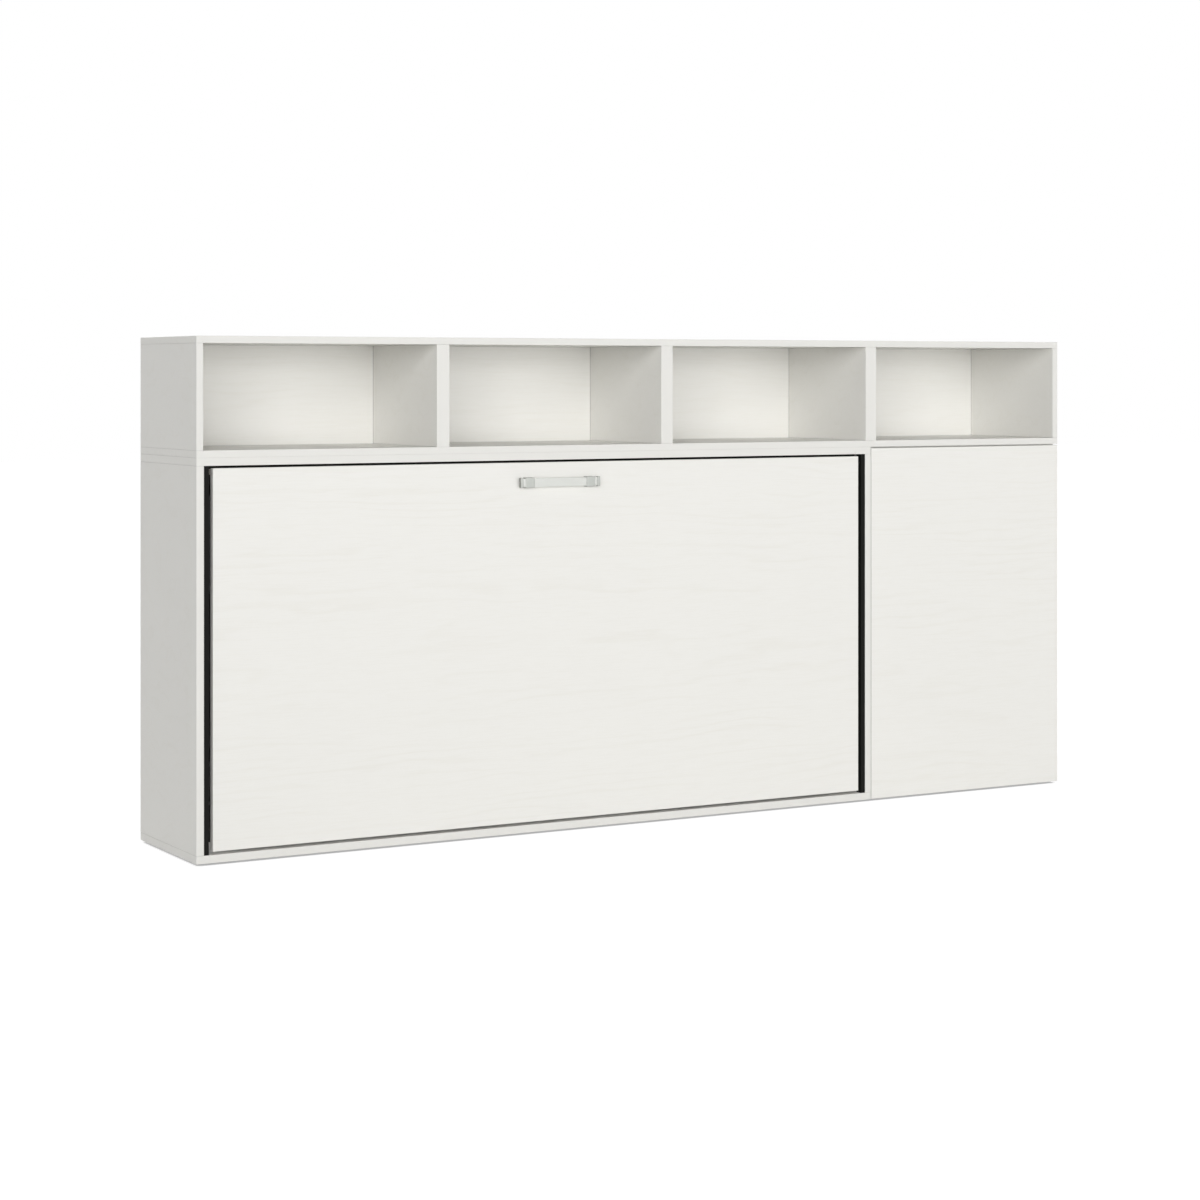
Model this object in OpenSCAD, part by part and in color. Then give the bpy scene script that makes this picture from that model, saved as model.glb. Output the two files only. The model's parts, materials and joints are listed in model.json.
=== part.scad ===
// Low horizontal wall bed with a run of open bays above it and, beside it, a cabinet whose
// one-piece front swings out and lies down as a desk.
// Inside the piece modules: X from the left outer face, Y back from the front plane, Z up.

/* [Cabinet] */
// Width of one module; the bed cabinet is three wide, the desk cabinet one
module_w = 693.3; // [577.5:0.1:832.5]
// Height of the lower cabinets, glides included
lower_h = 1031; // [859:1:1238]
// Height of the row of open bays
upper_h = 309; // [240:1:420]
// Depth from the front plane to the wall
depth = 410; // [341:1:492]
// Thickness of the boards of the lower cabinets
lower_t = 20.5; // [18:0.5:22]
// Thickness of the boards of the open bays
upper_t = 18.5; // [16:0.5:20]
// Thickness of the back panels
back_t = 8; // [4:1:8]
// Distance of the back panels from the wall
back_inset = 1; // [1:1:10]
// Height of the floor glides
glide_h = 5; // [4:1:8]
// Radius of the floor glides
glide_r = 16; // [12:1:20]
// Distance of the outer glides from the cabinets' ends
glide_side = 60; // [40:5:120]
// Distance of the glides from the carcass's front and back edges
glide_edge = 45; // [30:1:80]

/* [Bed] */
// Thickness of the bed's front panel
front_t = 20; // [18:0.5:22]
// Black gap between each filler strip and the bed's front
side_gap = 10.3; // [8:0.1:14]
// Gap above the bed's front
top_gap = 6.5; // [5:0.5:10]
// Gap below the bed's front
bottom_gap = 8; // [8:0.5:12]
// Width of the dark filler strip on each side
strip_w = 14; // [12:0.5:16]
// Depth of the filler strips
strip_d = 24; // [16:1:25]
// Distance of the filler strips behind the front plane
strip_in = 1; // [0:0.5:3]
// Height of the bed's pivot above the floor
pivot_h = 250; // [240:1:262]
// Distance of the bed's pivot behind the front plane
pivot_in = 42; // [40:1:44]
// Width of the square frame tube
tube_w = 30; // [25:1:32]
// Wall of the square frame tube
tube_wall = 2; // [1.5:0.5:3]
// Distance from the bed's front edges to the frame at the sides
frame_side = 5.2; // [5:0.1:8]
// Distance from the front's upper and lower edges to the frame
frame_end = 21; // [18:1:30]
// Thickness of a slat
slat_t = 8; // [7:0.5:10]
// Width of a slat
slat_w = 68; // [50:1:80]
// Number of slats
slat_n = 14; // [10:1:16]
// Distance from the frame's short sides to the mattress
mattress_side = 40; // [10:1:120]
// Distance from the frame's long sides to the mattress
mattress_end = 39.25; // [20:0.25:90]
// Mattress thickness
mattress_t = 180; // [120:5:180]
// Corner radius of the mattress
mattress_r = 35; // [20:1:60]

/* [Bed mechanism] */
// Radius of the bed's pivot pins
pivot_r = 8; // [6:0.5:9]
// Radius of the leg and link pins
pin_r = 5; // [4:0.5:6]
// Running clearance on a radius
run_gap = 0.06; // [0.04:0.01:0.1]
// Distance of the leg's hinge below the front's top edge
leg_top = 75; // [60:1:120]
// Height of the open leg's foot above the floor
foot_gap = 0.5; // [0.2:0.1:2]
// Offset of the link from the bed's pivot line, back and up alike
link_off = 20; // [20:0.5:22]
// Width of the link bar
link_w = 16; // [12:1:18]
// Thickness of the leg bar
leg_t = 3.5; // [3:0.5:3.5]
// Thickness of the link bar
link_t = 4; // [3:0.5:4]
// Distance of the strut's fixed pin behind the bed's pivot
strut_back = 200; // [180:5:230]
// Distance of the strut's fixed pin above the bed's pivot
strut_up = 300; // [260:5:330]
// Distance of the strut's moving pin below the bed's pivot
strut_arm = 100; // [80:5:110]
// Outer radius of the strut's cylinder
strut_r = 8; // [6:0.5:8]
// Radius of the strut's rod
rod_r = 4; // [3:0.5:5]

/* [Handle] */
// Overall length of the handle
handle_l = 245; // [160:1:320]
// Height of the handle's blocks
handle_h = 27; // [18:1:36]
// Reach of the handle in front of the bed's front
handle_out = 18; // [14:1:30]
// Thickness of the handle's bar
handle_bar_t = 8; // [5:0.5:9]
// Width of a handle block
handle_block_w = 26; // [16:1:34]
// Gap between a block and its end cap, where the bar shows
handle_block_gap = 8; // [4:0.5:14]
// Width of an end cap
handle_cap_w = 8; // [4:1:10]
// Distance of the handle's middle below the front's top edge
handle_down = 54; // [40:1:90]

/* [Desk] */
// Height of the desk's surface above the floor
desk_h = 740; // [700:1:760]
// Gap between the desk front and the bays above it
desk_gap = 4; // [3.5:0.5:8]
// Gap between the desk front and the bed cabinet
desk_side_gap = 1.5; // [1:0.5:3]
// Distance of the guided point below the front's top edge
guide_down = 30; // [25:1:40]
// Reach of the guided point out of the cabinet when the desk is down
guide_out = 51; // [51:1:70]
// Width of the swing arms
arm_w = 30; // [24:1:32]
// Thickness of the swing arms
arm_t = 5; // [4:0.5:6]
// Tooth pitch of the drive belt
belt_pitch = 5; // [4:0.5:6]
// Teeth of the belt pulley that moves with the front
small_teeth = 10; // [8:1:12]
// Width of the drive belt
belt_w = 8; // [6:1:8]
// Thickness of the drive belt
belt_t = 2.2; // [1.5:0.1:2.6]
// Clearance between the drive belt and the front's inner face
belt_clear = 1.6; // [1:0.1:4]
// Radius of the desk leg's tube
leg_tube_r = 11; // [9:0.5:12]
// Distance of the desk leg's hinge behind the front's inner face
leg_back = 18; // [16:0.5:20]
// Distance of the desk leg's hinge above the front's lower edge
leg_up = 91; // [80:1:120]
// Height of the desk leg's rubber glides
leg_glide_h = 6; // [4:1:10]
// Distance of the shelves behind the front plane, clear of the folding leg
shelf_setback = 216; // [200:1:260]
// Number of shelves in the desk cabinet
shelf_n = 2; // [1:1:3]
// Travel of the push latch
latch_travel = 3; // [2:0.5:4]

/* [Hidden] */
$fn = 48;

// Overall places
bed_w = 3 * module_w;
total_w = 4 * module_w;
total_h = lower_h + upper_h;
front_y = -(depth - handle_out) / 2;
bed_mid = bed_w / 2;
hair = 0.1; // gap between pieces that lie side by side

// Handle
handle_lip = 1; // metal in front of the bar
handle_rim = 2; // metal above and below the bar

// Bed front and its frame
panel_x0 = lower_t + strip_w + side_gap;
panel_x1 = bed_w - panel_x0;
panel_z0 = glide_h + lower_t + bottom_gap;
panel_z1 = lower_h - lower_t - top_gap;
frame_x0 = panel_x0 + frame_side;
frame_x1 = bed_w - frame_x0;
frame_z0 = panel_z0 + frame_end;
frame_z1 = panel_z1 - frame_end;
tube_y0 = front_t;
tube_y1 = tube_y0 + tube_w;
slat_y1 = tube_y1 + slat_t;
holder_t = 2;
holder_l = 36;
mattress_y0 = slat_y1 + holder_t + 0.5;
mattress_y1 = mattress_y0 + mattress_t;
mattress_x0 = frame_x0 + mattress_side;
mattress_l = frame_x1 - mattress_side - mattress_x0;
mattress_z0 = frame_z0 + mattress_end;
mattress_z1 = frame_z1 - mattress_end;
mattress_w = mattress_z1 - mattress_z0;
slat_from = frame_x0 + tube_w + slat_w;
slat_step = (frame_x1 - frame_x0 - 2 * (tube_w + slat_w)) / (slat_n - 1);
strap_t = 1.5;
strap_gap = 0.5; // between a strap and the mattress
strap_clear = 12.6; // between a strap and the slat holders
strap_w = slat_step - slat_w - 2 * holder_t - 2 * strap_clear;
strap_end = 4; // from a strap's end to the frame's edge

// Bed mechanism; the strut, the leg and the link each have their own layer in X
layer_gap = 0.8; // between the leg, the link and the frame
strut_gap = 0.6; // between the strut and the leg
hinge_y = tube_y0 + tube_w / 2;
hinge_z = panel_z1 - leg_top;
leg_l = pivot_h + hinge_y - pivot_in - foot_gap;
link_x1 = frame_x0 - layer_gap;
link_x0 = link_x1 - link_t;
leg_x1 = link_x0 - layer_gap;
leg_x0 = leg_x1 - leg_t;
strut_x = leg_x0 - strut_gap - strut_r;
strut_y = pivot_in + strut_back;
strut_z = pivot_h + strut_up;
strut_pin_z = pivot_h - strut_arm;
strut_l = norm([strut_back, strut_up + strut_arm]);
strut_l_open = norm([strut_back - strut_arm, strut_up]);
strut_tilt = atan2(strut_back, strut_up + strut_arm);
strut_tube_l = strut_l_open - 48;
strut_wall = 1.2;
strut_guide = 8; // length of the bore that guides the rod
strut_plug = 24; // solid length at the fixed end
piston_l = 10;
piston_gap = 0.3; // between the piston and the cylinder's wall
piston_at = strut_tube_l - 30; // piston's distance from the fixed pin at rest
stud_gap = 0.5; // clearance at the pin where the strut's loop is opened
eye_r = 9; // radius of the strut's eyes
crank_r = 10; // radius of the leg's crank ear
plate_t = 3; // steel plates and brackets
plate_y0 = pivot_in - 15;
plate_y1 = pivot_in + link_off + 8;
plate_z0 = pivot_h - 22;
plate_z1 = pivot_h + link_off + 44;
screw_r = 2.5; // screw holes in plates
screw_edge = 10; // from a screw to the plate's edge

// Desk cabinet and desk mechanism
side_x0 = bed_w + hair;
side_x1 = total_w;
in_x0 = side_x0 + lower_t;
in_x1 = side_x1 - lower_t;
carcass_y = front_t + 1;
desk_z0 = glide_h + 0.5;
desk_z1 = lower_h - desk_gap;
small_r = small_teeth * belt_pitch / (2 * PI);
big_r = 2 * small_r; // twice the teeth turn the front twice as far as the arm
belt_gap = 0.3; // between the belt and its pulleys
arm_y = front_t + belt_clear + belt_t + belt_gap + big_r;
arm_z = desk_h - arm_y;
guide_z = desk_z1 - guide_down;
arm_l = (guide_z - arm_z + guide_out) / 2;
arm_hinge_z = arm_z + arm_l;
bearing_t = 2.5;
bearing_in = 4; // from the carcass's front edge
bearing_w = 45; // reach behind the arm's pin
bearing_up = 30; // reach above the arm's pin
bearing_down = 50; // reach below it
belt_s = 3.5; // layers measured from the cabinet's inner faces
arm_s = belt_s + belt_w + 1;
bracket_s = arm_s + arm_t + 1;
bracket_t = 4;
bracket_w = 40; // width of the hinge bracket's plate
bracket_half = 24; // half its height
ear_r = 14; // radius of the bracket ears around their pins
pulley_rim = 5; // the fixed pulley's rim around its hub
leg_ear_s = 30;
leg_plate_w = 22; // width of the leg bracket's plate beside its ear
leg_s = leg_ear_s + bracket_t + 1 + leg_tube_r;
glide_cup = 4; // how far a glide reaches up round the foot tube
desk_leg_z = desk_z0 + leg_up;
desk_leg_l = desk_h - front_t - leg_back - foot_gap;
back_y0 = depth - back_inset - back_t;
shelf_z0 = glide_h + lower_t;
shelf_z1 = lower_h - lower_t;
latch_r = 4;
latch_len = 60;
latch_w = 20;
latch_box_h = 22;
latch_in = 5; // from the carcass's front edge
latch_gap = 0.3; // between the plunger and the front
latch_spring = 15; // room for the spring behind the plunger

// Wall fixing
rail_h = 100;
rail_t = 20;
wall_hole_r = 3.5;
wall_hole_x = 800; // from the middle of the bed cabinet
wall_arm = 60; // width and depth of a wall bracket

module place() {
    translate([-total_w / 2, front_y, 0]) children();
}

// A box given by its two corners
module block(x0, x1, y0, y1, z0, z1) {
    translate([x0, y0, z0]) cube([x1 - x0, y1 - y0, z1 - z0]);
}

// A round bar along X between two places
module bar_x(x0, x1, y, z, r) {
    translate([x0, y, z]) rotate([0, 90, 0]) cylinder(h = x1 - x0, r = r);
}

// The same pieces on the right side of the bed cabinet
module mirror_bed() {
    translate([bed_w, 0, 0]) mirror([1, 0, 0]) children();
}

// The same pieces on the right side of the desk cabinet
module mirror_desk() {
    translate([in_x0 + in_x1, 0, 0]) mirror([1, 0, 0]) children();
}

// Square tube along X, open at both ends
module tube_x(x0, x1, y, z) {
    difference() {
        block(x0, x1, y, y + tube_w, z, z + tube_w);
        block(x0 - 1, x1 + 1, y + tube_wall, y + tube_w - tube_wall,
              z + tube_wall, z + tube_w - tube_wall);
    }
}

// Square tube along Z, open at both ends
module tube_z(x, y, z0, z1) {
    difference() {
        block(x, x + tube_w, y, y + tube_w, z0, z1);
        block(x + tube_wall, x + tube_w - tube_wall, y + tube_wall, y + tube_w - tube_wall,
              z0 - 1, z1 + 1);
    }
}

// Flat bar in the Y-Z plane with round ends, between two pin places
module flat_bar(x0, t, from, to, r) {
    run = to - from;
    translate([x0, from[0], from[1]])
        rotate([atan2(run[1], run[0]), 0, 0]) {
            translate([0, 0, -r]) cube([t, norm(run), 2 * r]);
            rotate([0, 90, 0]) cylinder(h = t, r = r);
            translate([0, norm(run), 0]) rotate([0, 90, 0]) cylinder(h = t, r = r);
        }
}

// Open bays
upper_z0 = lower_h;
upper_in_z0 = upper_z0 + upper_t;
upper_in_z1 = total_h - upper_t;

module upper_top_board() color("#ebebe7")
    place() block(0, total_w, 0, depth, upper_in_z1, total_h);

module upper_bottom_board() color("#ebebe7")
    place() block(0, total_w, 0, depth, upper_z0, upper_in_z0);

module upper_left_end() color("#e3e3df")
    place() block(0, upper_t, 0, depth, upper_in_z0, upper_in_z1);

module upper_right_end() color("#e3e3df")
    place() block(total_w - upper_t, total_w, 0, depth, upper_in_z0, upper_in_z1);

// Two boards back to back on a module line
module upper_divider(i) color("#e7e7e3")
    place() {
        block(i * module_w - upper_t, i * module_w, 0, depth, upper_in_z0, upper_in_z1);
        block(i * module_w, i * module_w + upper_t, 0, depth, upper_in_z0, upper_in_z1);
    }

module upper_divider_left() upper_divider(1);
module upper_divider_middle() upper_divider(2);
module upper_divider_right() upper_divider(3);

module upper_back_panels() color("#e9e9e5")
    place() for (i = [0 : 3])
        block(i * module_w + upper_t, (i + 1) * module_w - upper_t,
              back_y0, back_y0 + back_t, upper_in_z0, upper_in_z1);

// Bed cabinet
module bed_side() block(0, lower_t, 0, depth, glide_h + lower_t, lower_h - lower_t);

module bed_side_left() color("#e3e3df") place() bed_side();

module bed_side_right() color("#e3e3df") place() mirror_bed() bed_side();

module bed_top_board() color("#ebebe7")
    place() block(0, bed_w, 0, depth, lower_h - lower_t, lower_h);

module bed_bottom_board() color("#ebebe7")
    place() block(0, bed_w, 0, depth, glide_h, glide_h + lower_t);

module rear_rail(z0) difference() {
    block(lower_t, bed_w - lower_t, depth - rail_t, depth, z0, z0 + rail_h);
    for (s = [-1, 1])
        translate([bed_mid + s * wall_hole_x, depth - rail_t - 1, z0 + rail_h / 2])
            rotate([-90, 0, 0]) cylinder(h = rail_t + 2, r = wall_hole_r);
}

rail_top_z = lower_h - lower_t - rail_h;

module rear_rails() color("#dcdcd8") place() {
    rear_rail(rail_top_z);
    rear_rail(glide_h + lower_t);
}

module wall_brackets() color("#b9bcbc") place() for (s = [-1, 1])
    difference() {
        union() {
            block(bed_mid + s * wall_hole_x - wall_arm / 2, bed_mid + s * wall_hole_x + wall_arm / 2,
                  depth - rail_t - plate_t, depth - rail_t, rail_top_z, rail_top_z + rail_h);
            block(bed_mid + s * wall_hole_x - wall_arm / 2, bed_mid + s * wall_hole_x + wall_arm / 2,
                  depth - rail_t - wall_arm, depth - rail_t,
                  rail_top_z + rail_h - plate_t, rail_top_z + rail_h);
        }
        translate([bed_mid + s * wall_hole_x, depth - rail_t - plate_t - 1, rail_top_z + rail_h / 2])
            rotate([-90, 0, 0]) cylinder(h = plate_t + 2, r = wall_hole_r);
    }

module filler_strip()
    block(lower_t, lower_t + strip_w, strip_in, strip_in + strip_d,
          glide_h + lower_t, lower_h - lower_t);

module filler_strips() color("#262724") place() {
    filler_strip();
    mirror_bed() filler_strip();
}

module floor_glides() color("#55564f") place() {
    for (i = [0 : 3], y = [glide_edge, depth - glide_edge])
        translate([glide_side + i * (bed_w - 2 * glide_side) / 3, y, 0])
            cylinder(h = glide_h, r = glide_r);
    for (x = [side_x0 + glide_side, side_x1 - glide_side],
         y = [carcass_y + glide_edge, depth - glide_edge])
        translate([x, y, 0]) cylinder(h = glide_h, r = glide_r);
}

// Bed
module bed_front_panel() color("#ebebe7")
    place() block(panel_x0, panel_x1, 0, front_t, panel_z0, panel_z1);

handle_z = panel_z1 - handle_down;
handle_block_x = handle_l / 2 - handle_cap_w - handle_block_gap - handle_block_w / 2;

module handle_bar() color("#dddfdb") place()
    block(bed_mid - handle_l / 2 + handle_cap_w, bed_mid + handle_l / 2 - handle_cap_w,
          handle_lip - handle_out, handle_lip - handle_out + handle_bar_t,
          handle_z - handle_h / 2 + handle_rim, handle_z + handle_h / 2 - handle_rim);

// Each block is a foot on the front with a slot that holds the bar
module handle_blocks() color("#c3c6c0") place() for (s = [-1, 1])
    difference() {
        block(bed_mid + s * handle_block_x - handle_block_w / 2,
              bed_mid + s * handle_block_x + handle_block_w / 2,
              -handle_out, 0, handle_z - handle_h / 2, handle_z + handle_h / 2);
        block(bed_mid + s * handle_block_x - handle_block_w / 2 - 1,
              bed_mid + s * handle_block_x + handle_block_w / 2 + 1,
              handle_lip - handle_out, handle_lip - handle_out + handle_bar_t,
              handle_z - handle_h / 2 + handle_rim, handle_z + handle_h / 2 - handle_rim);
    }

module handle_end_caps() color("#b9bbb6") place() for (s = [-1, 1])
    translate([bed_mid + s * (handle_l - handle_cap_w) / 2, 0, handle_z])
        block(-handle_cap_w / 2, handle_cap_w / 2, -handle_out,
              2 * handle_lip - handle_out + handle_bar_t,
              -handle_h / 2, handle_h / 2);

module bed_frame_long_tubes() color("#1f201f") place()
    for (z = [frame_z0, frame_z1 - tube_w])
        tube_x(frame_x0 + tube_w, frame_x1 - tube_w, tube_y0, z);

module bed_frame_end_tubes() color("#1f201f") place()
    for (x = [frame_x0, frame_x1 - tube_w])
        tube_z(x, tube_y0, frame_z0, frame_z1);

module bed_frame_cross_bars() color("#1f201f") place()
    for (i = [1 : 3])
        tube_z(frame_x0 + i * (frame_x1 - frame_x0) / 4 - tube_w / 2, tube_y0,
               frame_z0 + tube_w, frame_z1 - tube_w);

module bed_slats() color("#d9b98a") place() for (i = [0 : slat_n - 1])
    block(slat_from + i * slat_step - slat_w / 2, slat_from + i * slat_step + slat_w / 2,
          tube_y1, slat_y1, frame_z0 + holder_t, frame_z1 - holder_t);

// Plastic caps that clip each slat's ends to the long tubes
module slat_holders() color("#2a2b2a") place()
    for (i = [0 : slat_n - 1], end = [0, 1]) {
        z0 = end == 0 ? frame_z0 : frame_z1 - holder_l;
        difference() {
            block(slat_from + i * slat_step - slat_w / 2 - holder_t,
                  slat_from + i * slat_step + slat_w / 2 + holder_t,
                  tube_y1, slat_y1 + holder_t, z0, z0 + holder_l);
            block(slat_from + i * slat_step - slat_w / 2, slat_from + i * slat_step + slat_w / 2,
                  tube_y1 - 1, slat_y1, frame_z0 + holder_t, frame_z1 - holder_t);
        }
    }

// Rounded corners in the plan of the bed
module mattress() color("#e8e6df") place()
    translate([mattress_x0, mattress_y1, mattress_z0]) rotate([90, 0, 0])
        linear_extrude(mattress_t) {
            translate([0, mattress_r]) square([mattress_l, mattress_w - 2 * mattress_r]);
            translate([mattress_r, 0]) square([mattress_l - 2 * mattress_r, mattress_w]);
            for (x = [mattress_r, mattress_l - mattress_r], z = [mattress_r, mattress_w - mattress_r])
                translate([x, z]) circle(mattress_r);
        }

// Elastic bands that hold the mattress while the bed stands up. Each runs in the gap between two
// slats, over the mattress, and ends in a tab on each long tube.
strap_slot = round(slat_n / 4);
module mattress_straps() color("#2b2c30") place()
    for (i = [strap_slot - 0.5, slat_n - strap_slot - 0.5]) {
        x0 = slat_from + i * slat_step - strap_w / 2;
        y1 = mattress_y1 + strap_gap;
        z0 = mattress_z0 - strap_gap;
        z1 = mattress_z1 + strap_gap;
        block(x0, x0 + strap_w, y1, y1 + strap_t, z0 - strap_t, z1 + strap_t);
        block(x0, x0 + strap_w, tube_y1, y1, z0 - strap_t, z0);
        block(x0, x0 + strap_w, tube_y1, y1, z1, z1 + strap_t);
        block(x0, x0 + strap_w, tube_y1, tube_y1 + strap_t, frame_z0 + strap_end, z0 - strap_t);
        block(x0, x0 + strap_w, tube_y1, tube_y1 + strap_t, z1 + strap_t, frame_z1 - strap_end);
    }

// Bed mechanism
module bed_pivot_pin() bar_x(lower_t + 0.5, frame_x0, pivot_in, pivot_h, pivot_r);

module bed_pivot_pins() color("#8f9292") place() {
    bed_pivot_pin();
    mirror_bed() bed_pivot_pin();
}

module bed_pivot_plate() difference() {
    block(lower_t, lower_t + plate_t, plate_y0, plate_y1, plate_z0, plate_z1);
    bar_x(lower_t - 1, lower_t + plate_t + 1, pivot_in, pivot_h, pivot_r + run_gap);
    bar_x(lower_t - 1, lower_t + plate_t + 1, pivot_in + link_off, pivot_h + link_off,
          pin_r + run_gap);
    for (y = [plate_y0 + screw_edge, plate_y1 - screw_edge])
        bar_x(lower_t - 1, lower_t + plate_t + 1, y, plate_z1 - screw_edge, screw_r);
}

module bed_pivot_plates() color("#b9bcbc") place() {
    bed_pivot_plate();
    mirror_bed() bed_pivot_plate();
}

// Leg hinge pin near the top of the frame and the strut's stud below the pivot
module bed_frame_pin_pair() {
    bar_x(leg_x0, frame_x0, hinge_y, hinge_z, pin_r);
    bar_x(leg_x0 + stud_gap, frame_x0, pivot_in, strut_pin_z, pin_r);
}

module bed_frame_pins() color("#8f9292") place() {
    bed_frame_pin_pair();
    mirror_bed() bed_frame_pin_pair();
}

module link_pivot_stud() {
    bar_x(lower_t, link_x1, pivot_in + link_off, pivot_h + link_off, pin_r);
}

module link_pivot_studs() color("#8f9292") place() {
    link_pivot_stud();
    mirror_bed() link_pivot_stud();
}

// Flat leg with a crank ear; its own pin goes through the end of the link
module bed_leg() {
    difference() {
        union() {
            flat_bar(leg_x0, leg_t, [hinge_y, hinge_z], [hinge_y, hinge_z - leg_l + tube_w / 2],
                     tube_w / 2 - 1);
            flat_bar(leg_x0, leg_t, [hinge_y, hinge_z],
                     [hinge_y + link_off, hinge_z + link_off], crank_r);
            block(leg_x0, leg_x1, hinge_y - tube_w / 2 + 1, hinge_y + tube_w / 2 - 1,
                  hinge_z - leg_l, hinge_z - leg_l + tube_w / 2);
        }
        bar_x(leg_x0 - 1, leg_x1 + 1, hinge_y, hinge_z, pin_r + run_gap);
    }
    bar_x(leg_x1 - 0.5, link_x1, hinge_y + link_off, hinge_z + link_off, pin_r);
}

module bed_leg_left() color("#1f201f") place() bed_leg();

module bed_leg_right() color("#1f201f") place() mirror_bed() bed_leg();

module link_rod() difference() {
    flat_bar(link_x0, link_t, [pivot_in + link_off, pivot_h + link_off],
             [hinge_y + link_off, hinge_z + link_off], link_w / 2);
    bar_x(link_x0 - 1, link_x1 + 1, pivot_in + link_off, pivot_h + link_off, pin_r + run_gap);
    bar_x(link_x0 - 1, link_x1 + 1, hinge_y + link_off, hinge_z + link_off, pin_r + run_gap);
}

module link_rod_left() color("#1f201f") place() link_rod();

module link_rod_right() color("#1f201f") place() mirror_bed() link_rod();

module strut_side_stud() bar_x(lower_t, strut_x + strut_r, strut_y, strut_z, pin_r);

module strut_side_studs() color("#8f9292") place() {
    strut_side_stud();
    mirror_bed() strut_side_stud();
}

// Along the strut: Z runs from the fixed pin towards the moving pin
module along_strut() {
    translate([strut_x, strut_y, strut_z]) rotate([180 - strut_tilt, 0, 0]) children();
}

module strut_eye_ring() difference() {
    rotate([0, 90, 0]) cylinder(h = 2 * strut_r - 2, r = eye_r, center = true);
    rotate([0, 90, 0]) cylinder(h = 2 * strut_r, r = pin_r + run_gap, center = true);
}

module strut_cylinder() along_strut() {
    strut_eye_ring();
    difference() {
        translate([0, 0, pin_r + 2]) cylinder(h = strut_tube_l - pin_r - 2, r = strut_r);
        translate([0, 0, strut_plug])
            cylinder(h = strut_tube_l - strut_plug - strut_guide, r = strut_r - strut_wall);
        translate([0, 0, strut_tube_l - strut_guide - 1])
            cylinder(h = strut_guide + 2, r = rod_r + run_gap);
    }
}

module strut_cylinder_left() color("#26282a") place() strut_cylinder();

module strut_cylinder_right() color("#26282a") place() mirror_bed() strut_cylinder();

module strut_rod() along_strut() {
    translate([0, 0, strut_l]) strut_eye_ring();
    translate([0, 0, piston_at]) cylinder(h = strut_l - piston_at - pin_r - 1, r = rod_r);
    translate([0, 0, piston_at])
        cylinder(h = piston_l, r = strut_r - strut_wall - piston_gap);
}

module strut_rod_left() color("#c9cccc") place() strut_rod();

module strut_rod_right() color("#c9cccc") place() mirror_bed() strut_rod();

// Desk cabinet
module side_wall(x0) block(x0, x0 + lower_t, carcass_y, depth, shelf_z0, shelf_z1);

module side_inner_panel() color("#e3e3df") place() side_wall(side_x0);

module side_end_panel() color("#e3e3df") place() side_wall(in_x1);

module side_bottom_board() color("#ebebe7")
    place() block(side_x0, side_x1, carcass_y, depth, glide_h, shelf_z0);

module side_top_board() color("#ebebe7")
    place() block(side_x0, side_x1, carcass_y, depth, shelf_z1, lower_h);

module side_back_panel() color("#e9e9e5")
    place() block(in_x0, in_x1, back_y0, back_y0 + back_t, shelf_z0, shelf_z1);

// Underside of each shelf, counted from the bottom
function shelf_z(i) = shelf_z0 + i * (shelf_z1 - shelf_z0) / (shelf_n + 1);
shelf_pin_r = 2.5;
shelf_pin_l = 9;
shelf_pin_edge = 35; // from a pin to the shelf's edge
shelf_gap = 0.5; // around a shelf

module side_shelves() color("#ebebe7") place() for (i = [1 : shelf_n])
    block(in_x0 + shelf_gap, in_x1 - shelf_gap, shelf_setback, back_y0 - shelf_gap,
          shelf_z(i), shelf_z(i) + upper_t);

module shelf_pins() color("#b9bcbc") place()
    for (i = [1 : shelf_n], y = [shelf_setback + shelf_pin_edge, back_y0 - shelf_pin_edge]) {
        bar_x(in_x0, in_x0 + shelf_pin_l, y, shelf_z(i) - shelf_pin_r, shelf_pin_r);
        bar_x(in_x1 - shelf_pin_l, in_x1, y, shelf_z(i) - shelf_pin_r, shelf_pin_r);
    }

// Desk
module desk_front() color("#ebebe7")
    place() block(bed_w + desk_side_gap, side_x1, 0, front_t, desk_z0, desk_z1);

module desk_arm() difference() {
    flat_bar(in_x0 + arm_s, arm_t, [arm_y, arm_z], [arm_y, arm_hinge_z], arm_w / 2);
    for (z = [arm_z, arm_hinge_z])
        bar_x(in_x0, in_x0 + arm_s + arm_t + 1, arm_y, z, pin_r + run_gap);
}

module desk_arm_left() color("#b9bcbc") place() desk_arm();

module desk_arm_right() color("#b9bcbc") place() mirror_desk() desk_arm();

// Plate screwed to the cabinet's side, with the arm's pin
module arm_bearing_plate() {
    difference() {
        block(in_x0, in_x0 + bearing_t, carcass_y + bearing_in, arm_y + bearing_w,
              arm_z - bearing_down, arm_z + bearing_up);
        for (z = [arm_z - bearing_down + screw_edge, arm_z + bearing_up - screw_edge])
            bar_x(in_x0 - 1, in_x0 + bearing_t + 1, arm_y + bearing_w - screw_edge, z, screw_r);
    }
    bar_x(in_x0 + bearing_t - 0.5, in_x0 + arm_s + arm_t, arm_y, arm_z, pin_r);
}

module arm_bearing_plates() color("#8f9292") place() {
    arm_bearing_plate();
    mirror_desk() arm_bearing_plate();
}

module pulley(z, r, bore) difference() {
    bar_x(in_x0 + belt_s, in_x0 + belt_s + belt_w, arm_y, z, r);
    bar_x(in_x0, in_x0 + arm_s, arm_y, z, bore);
}

// The hub joins the pulley to the bearing plate
module arm_fixed_pulley() {
    pulley(arm_z, big_r, pin_r + run_gap);
    difference() {
        bar_x(in_x0 + bearing_t, in_x0 + belt_s + 1, arm_y, arm_z, big_r - pulley_rim);
        bar_x(in_x0, in_x0 + arm_s, arm_y, arm_z, pin_r + run_gap);
    }
}

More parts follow.
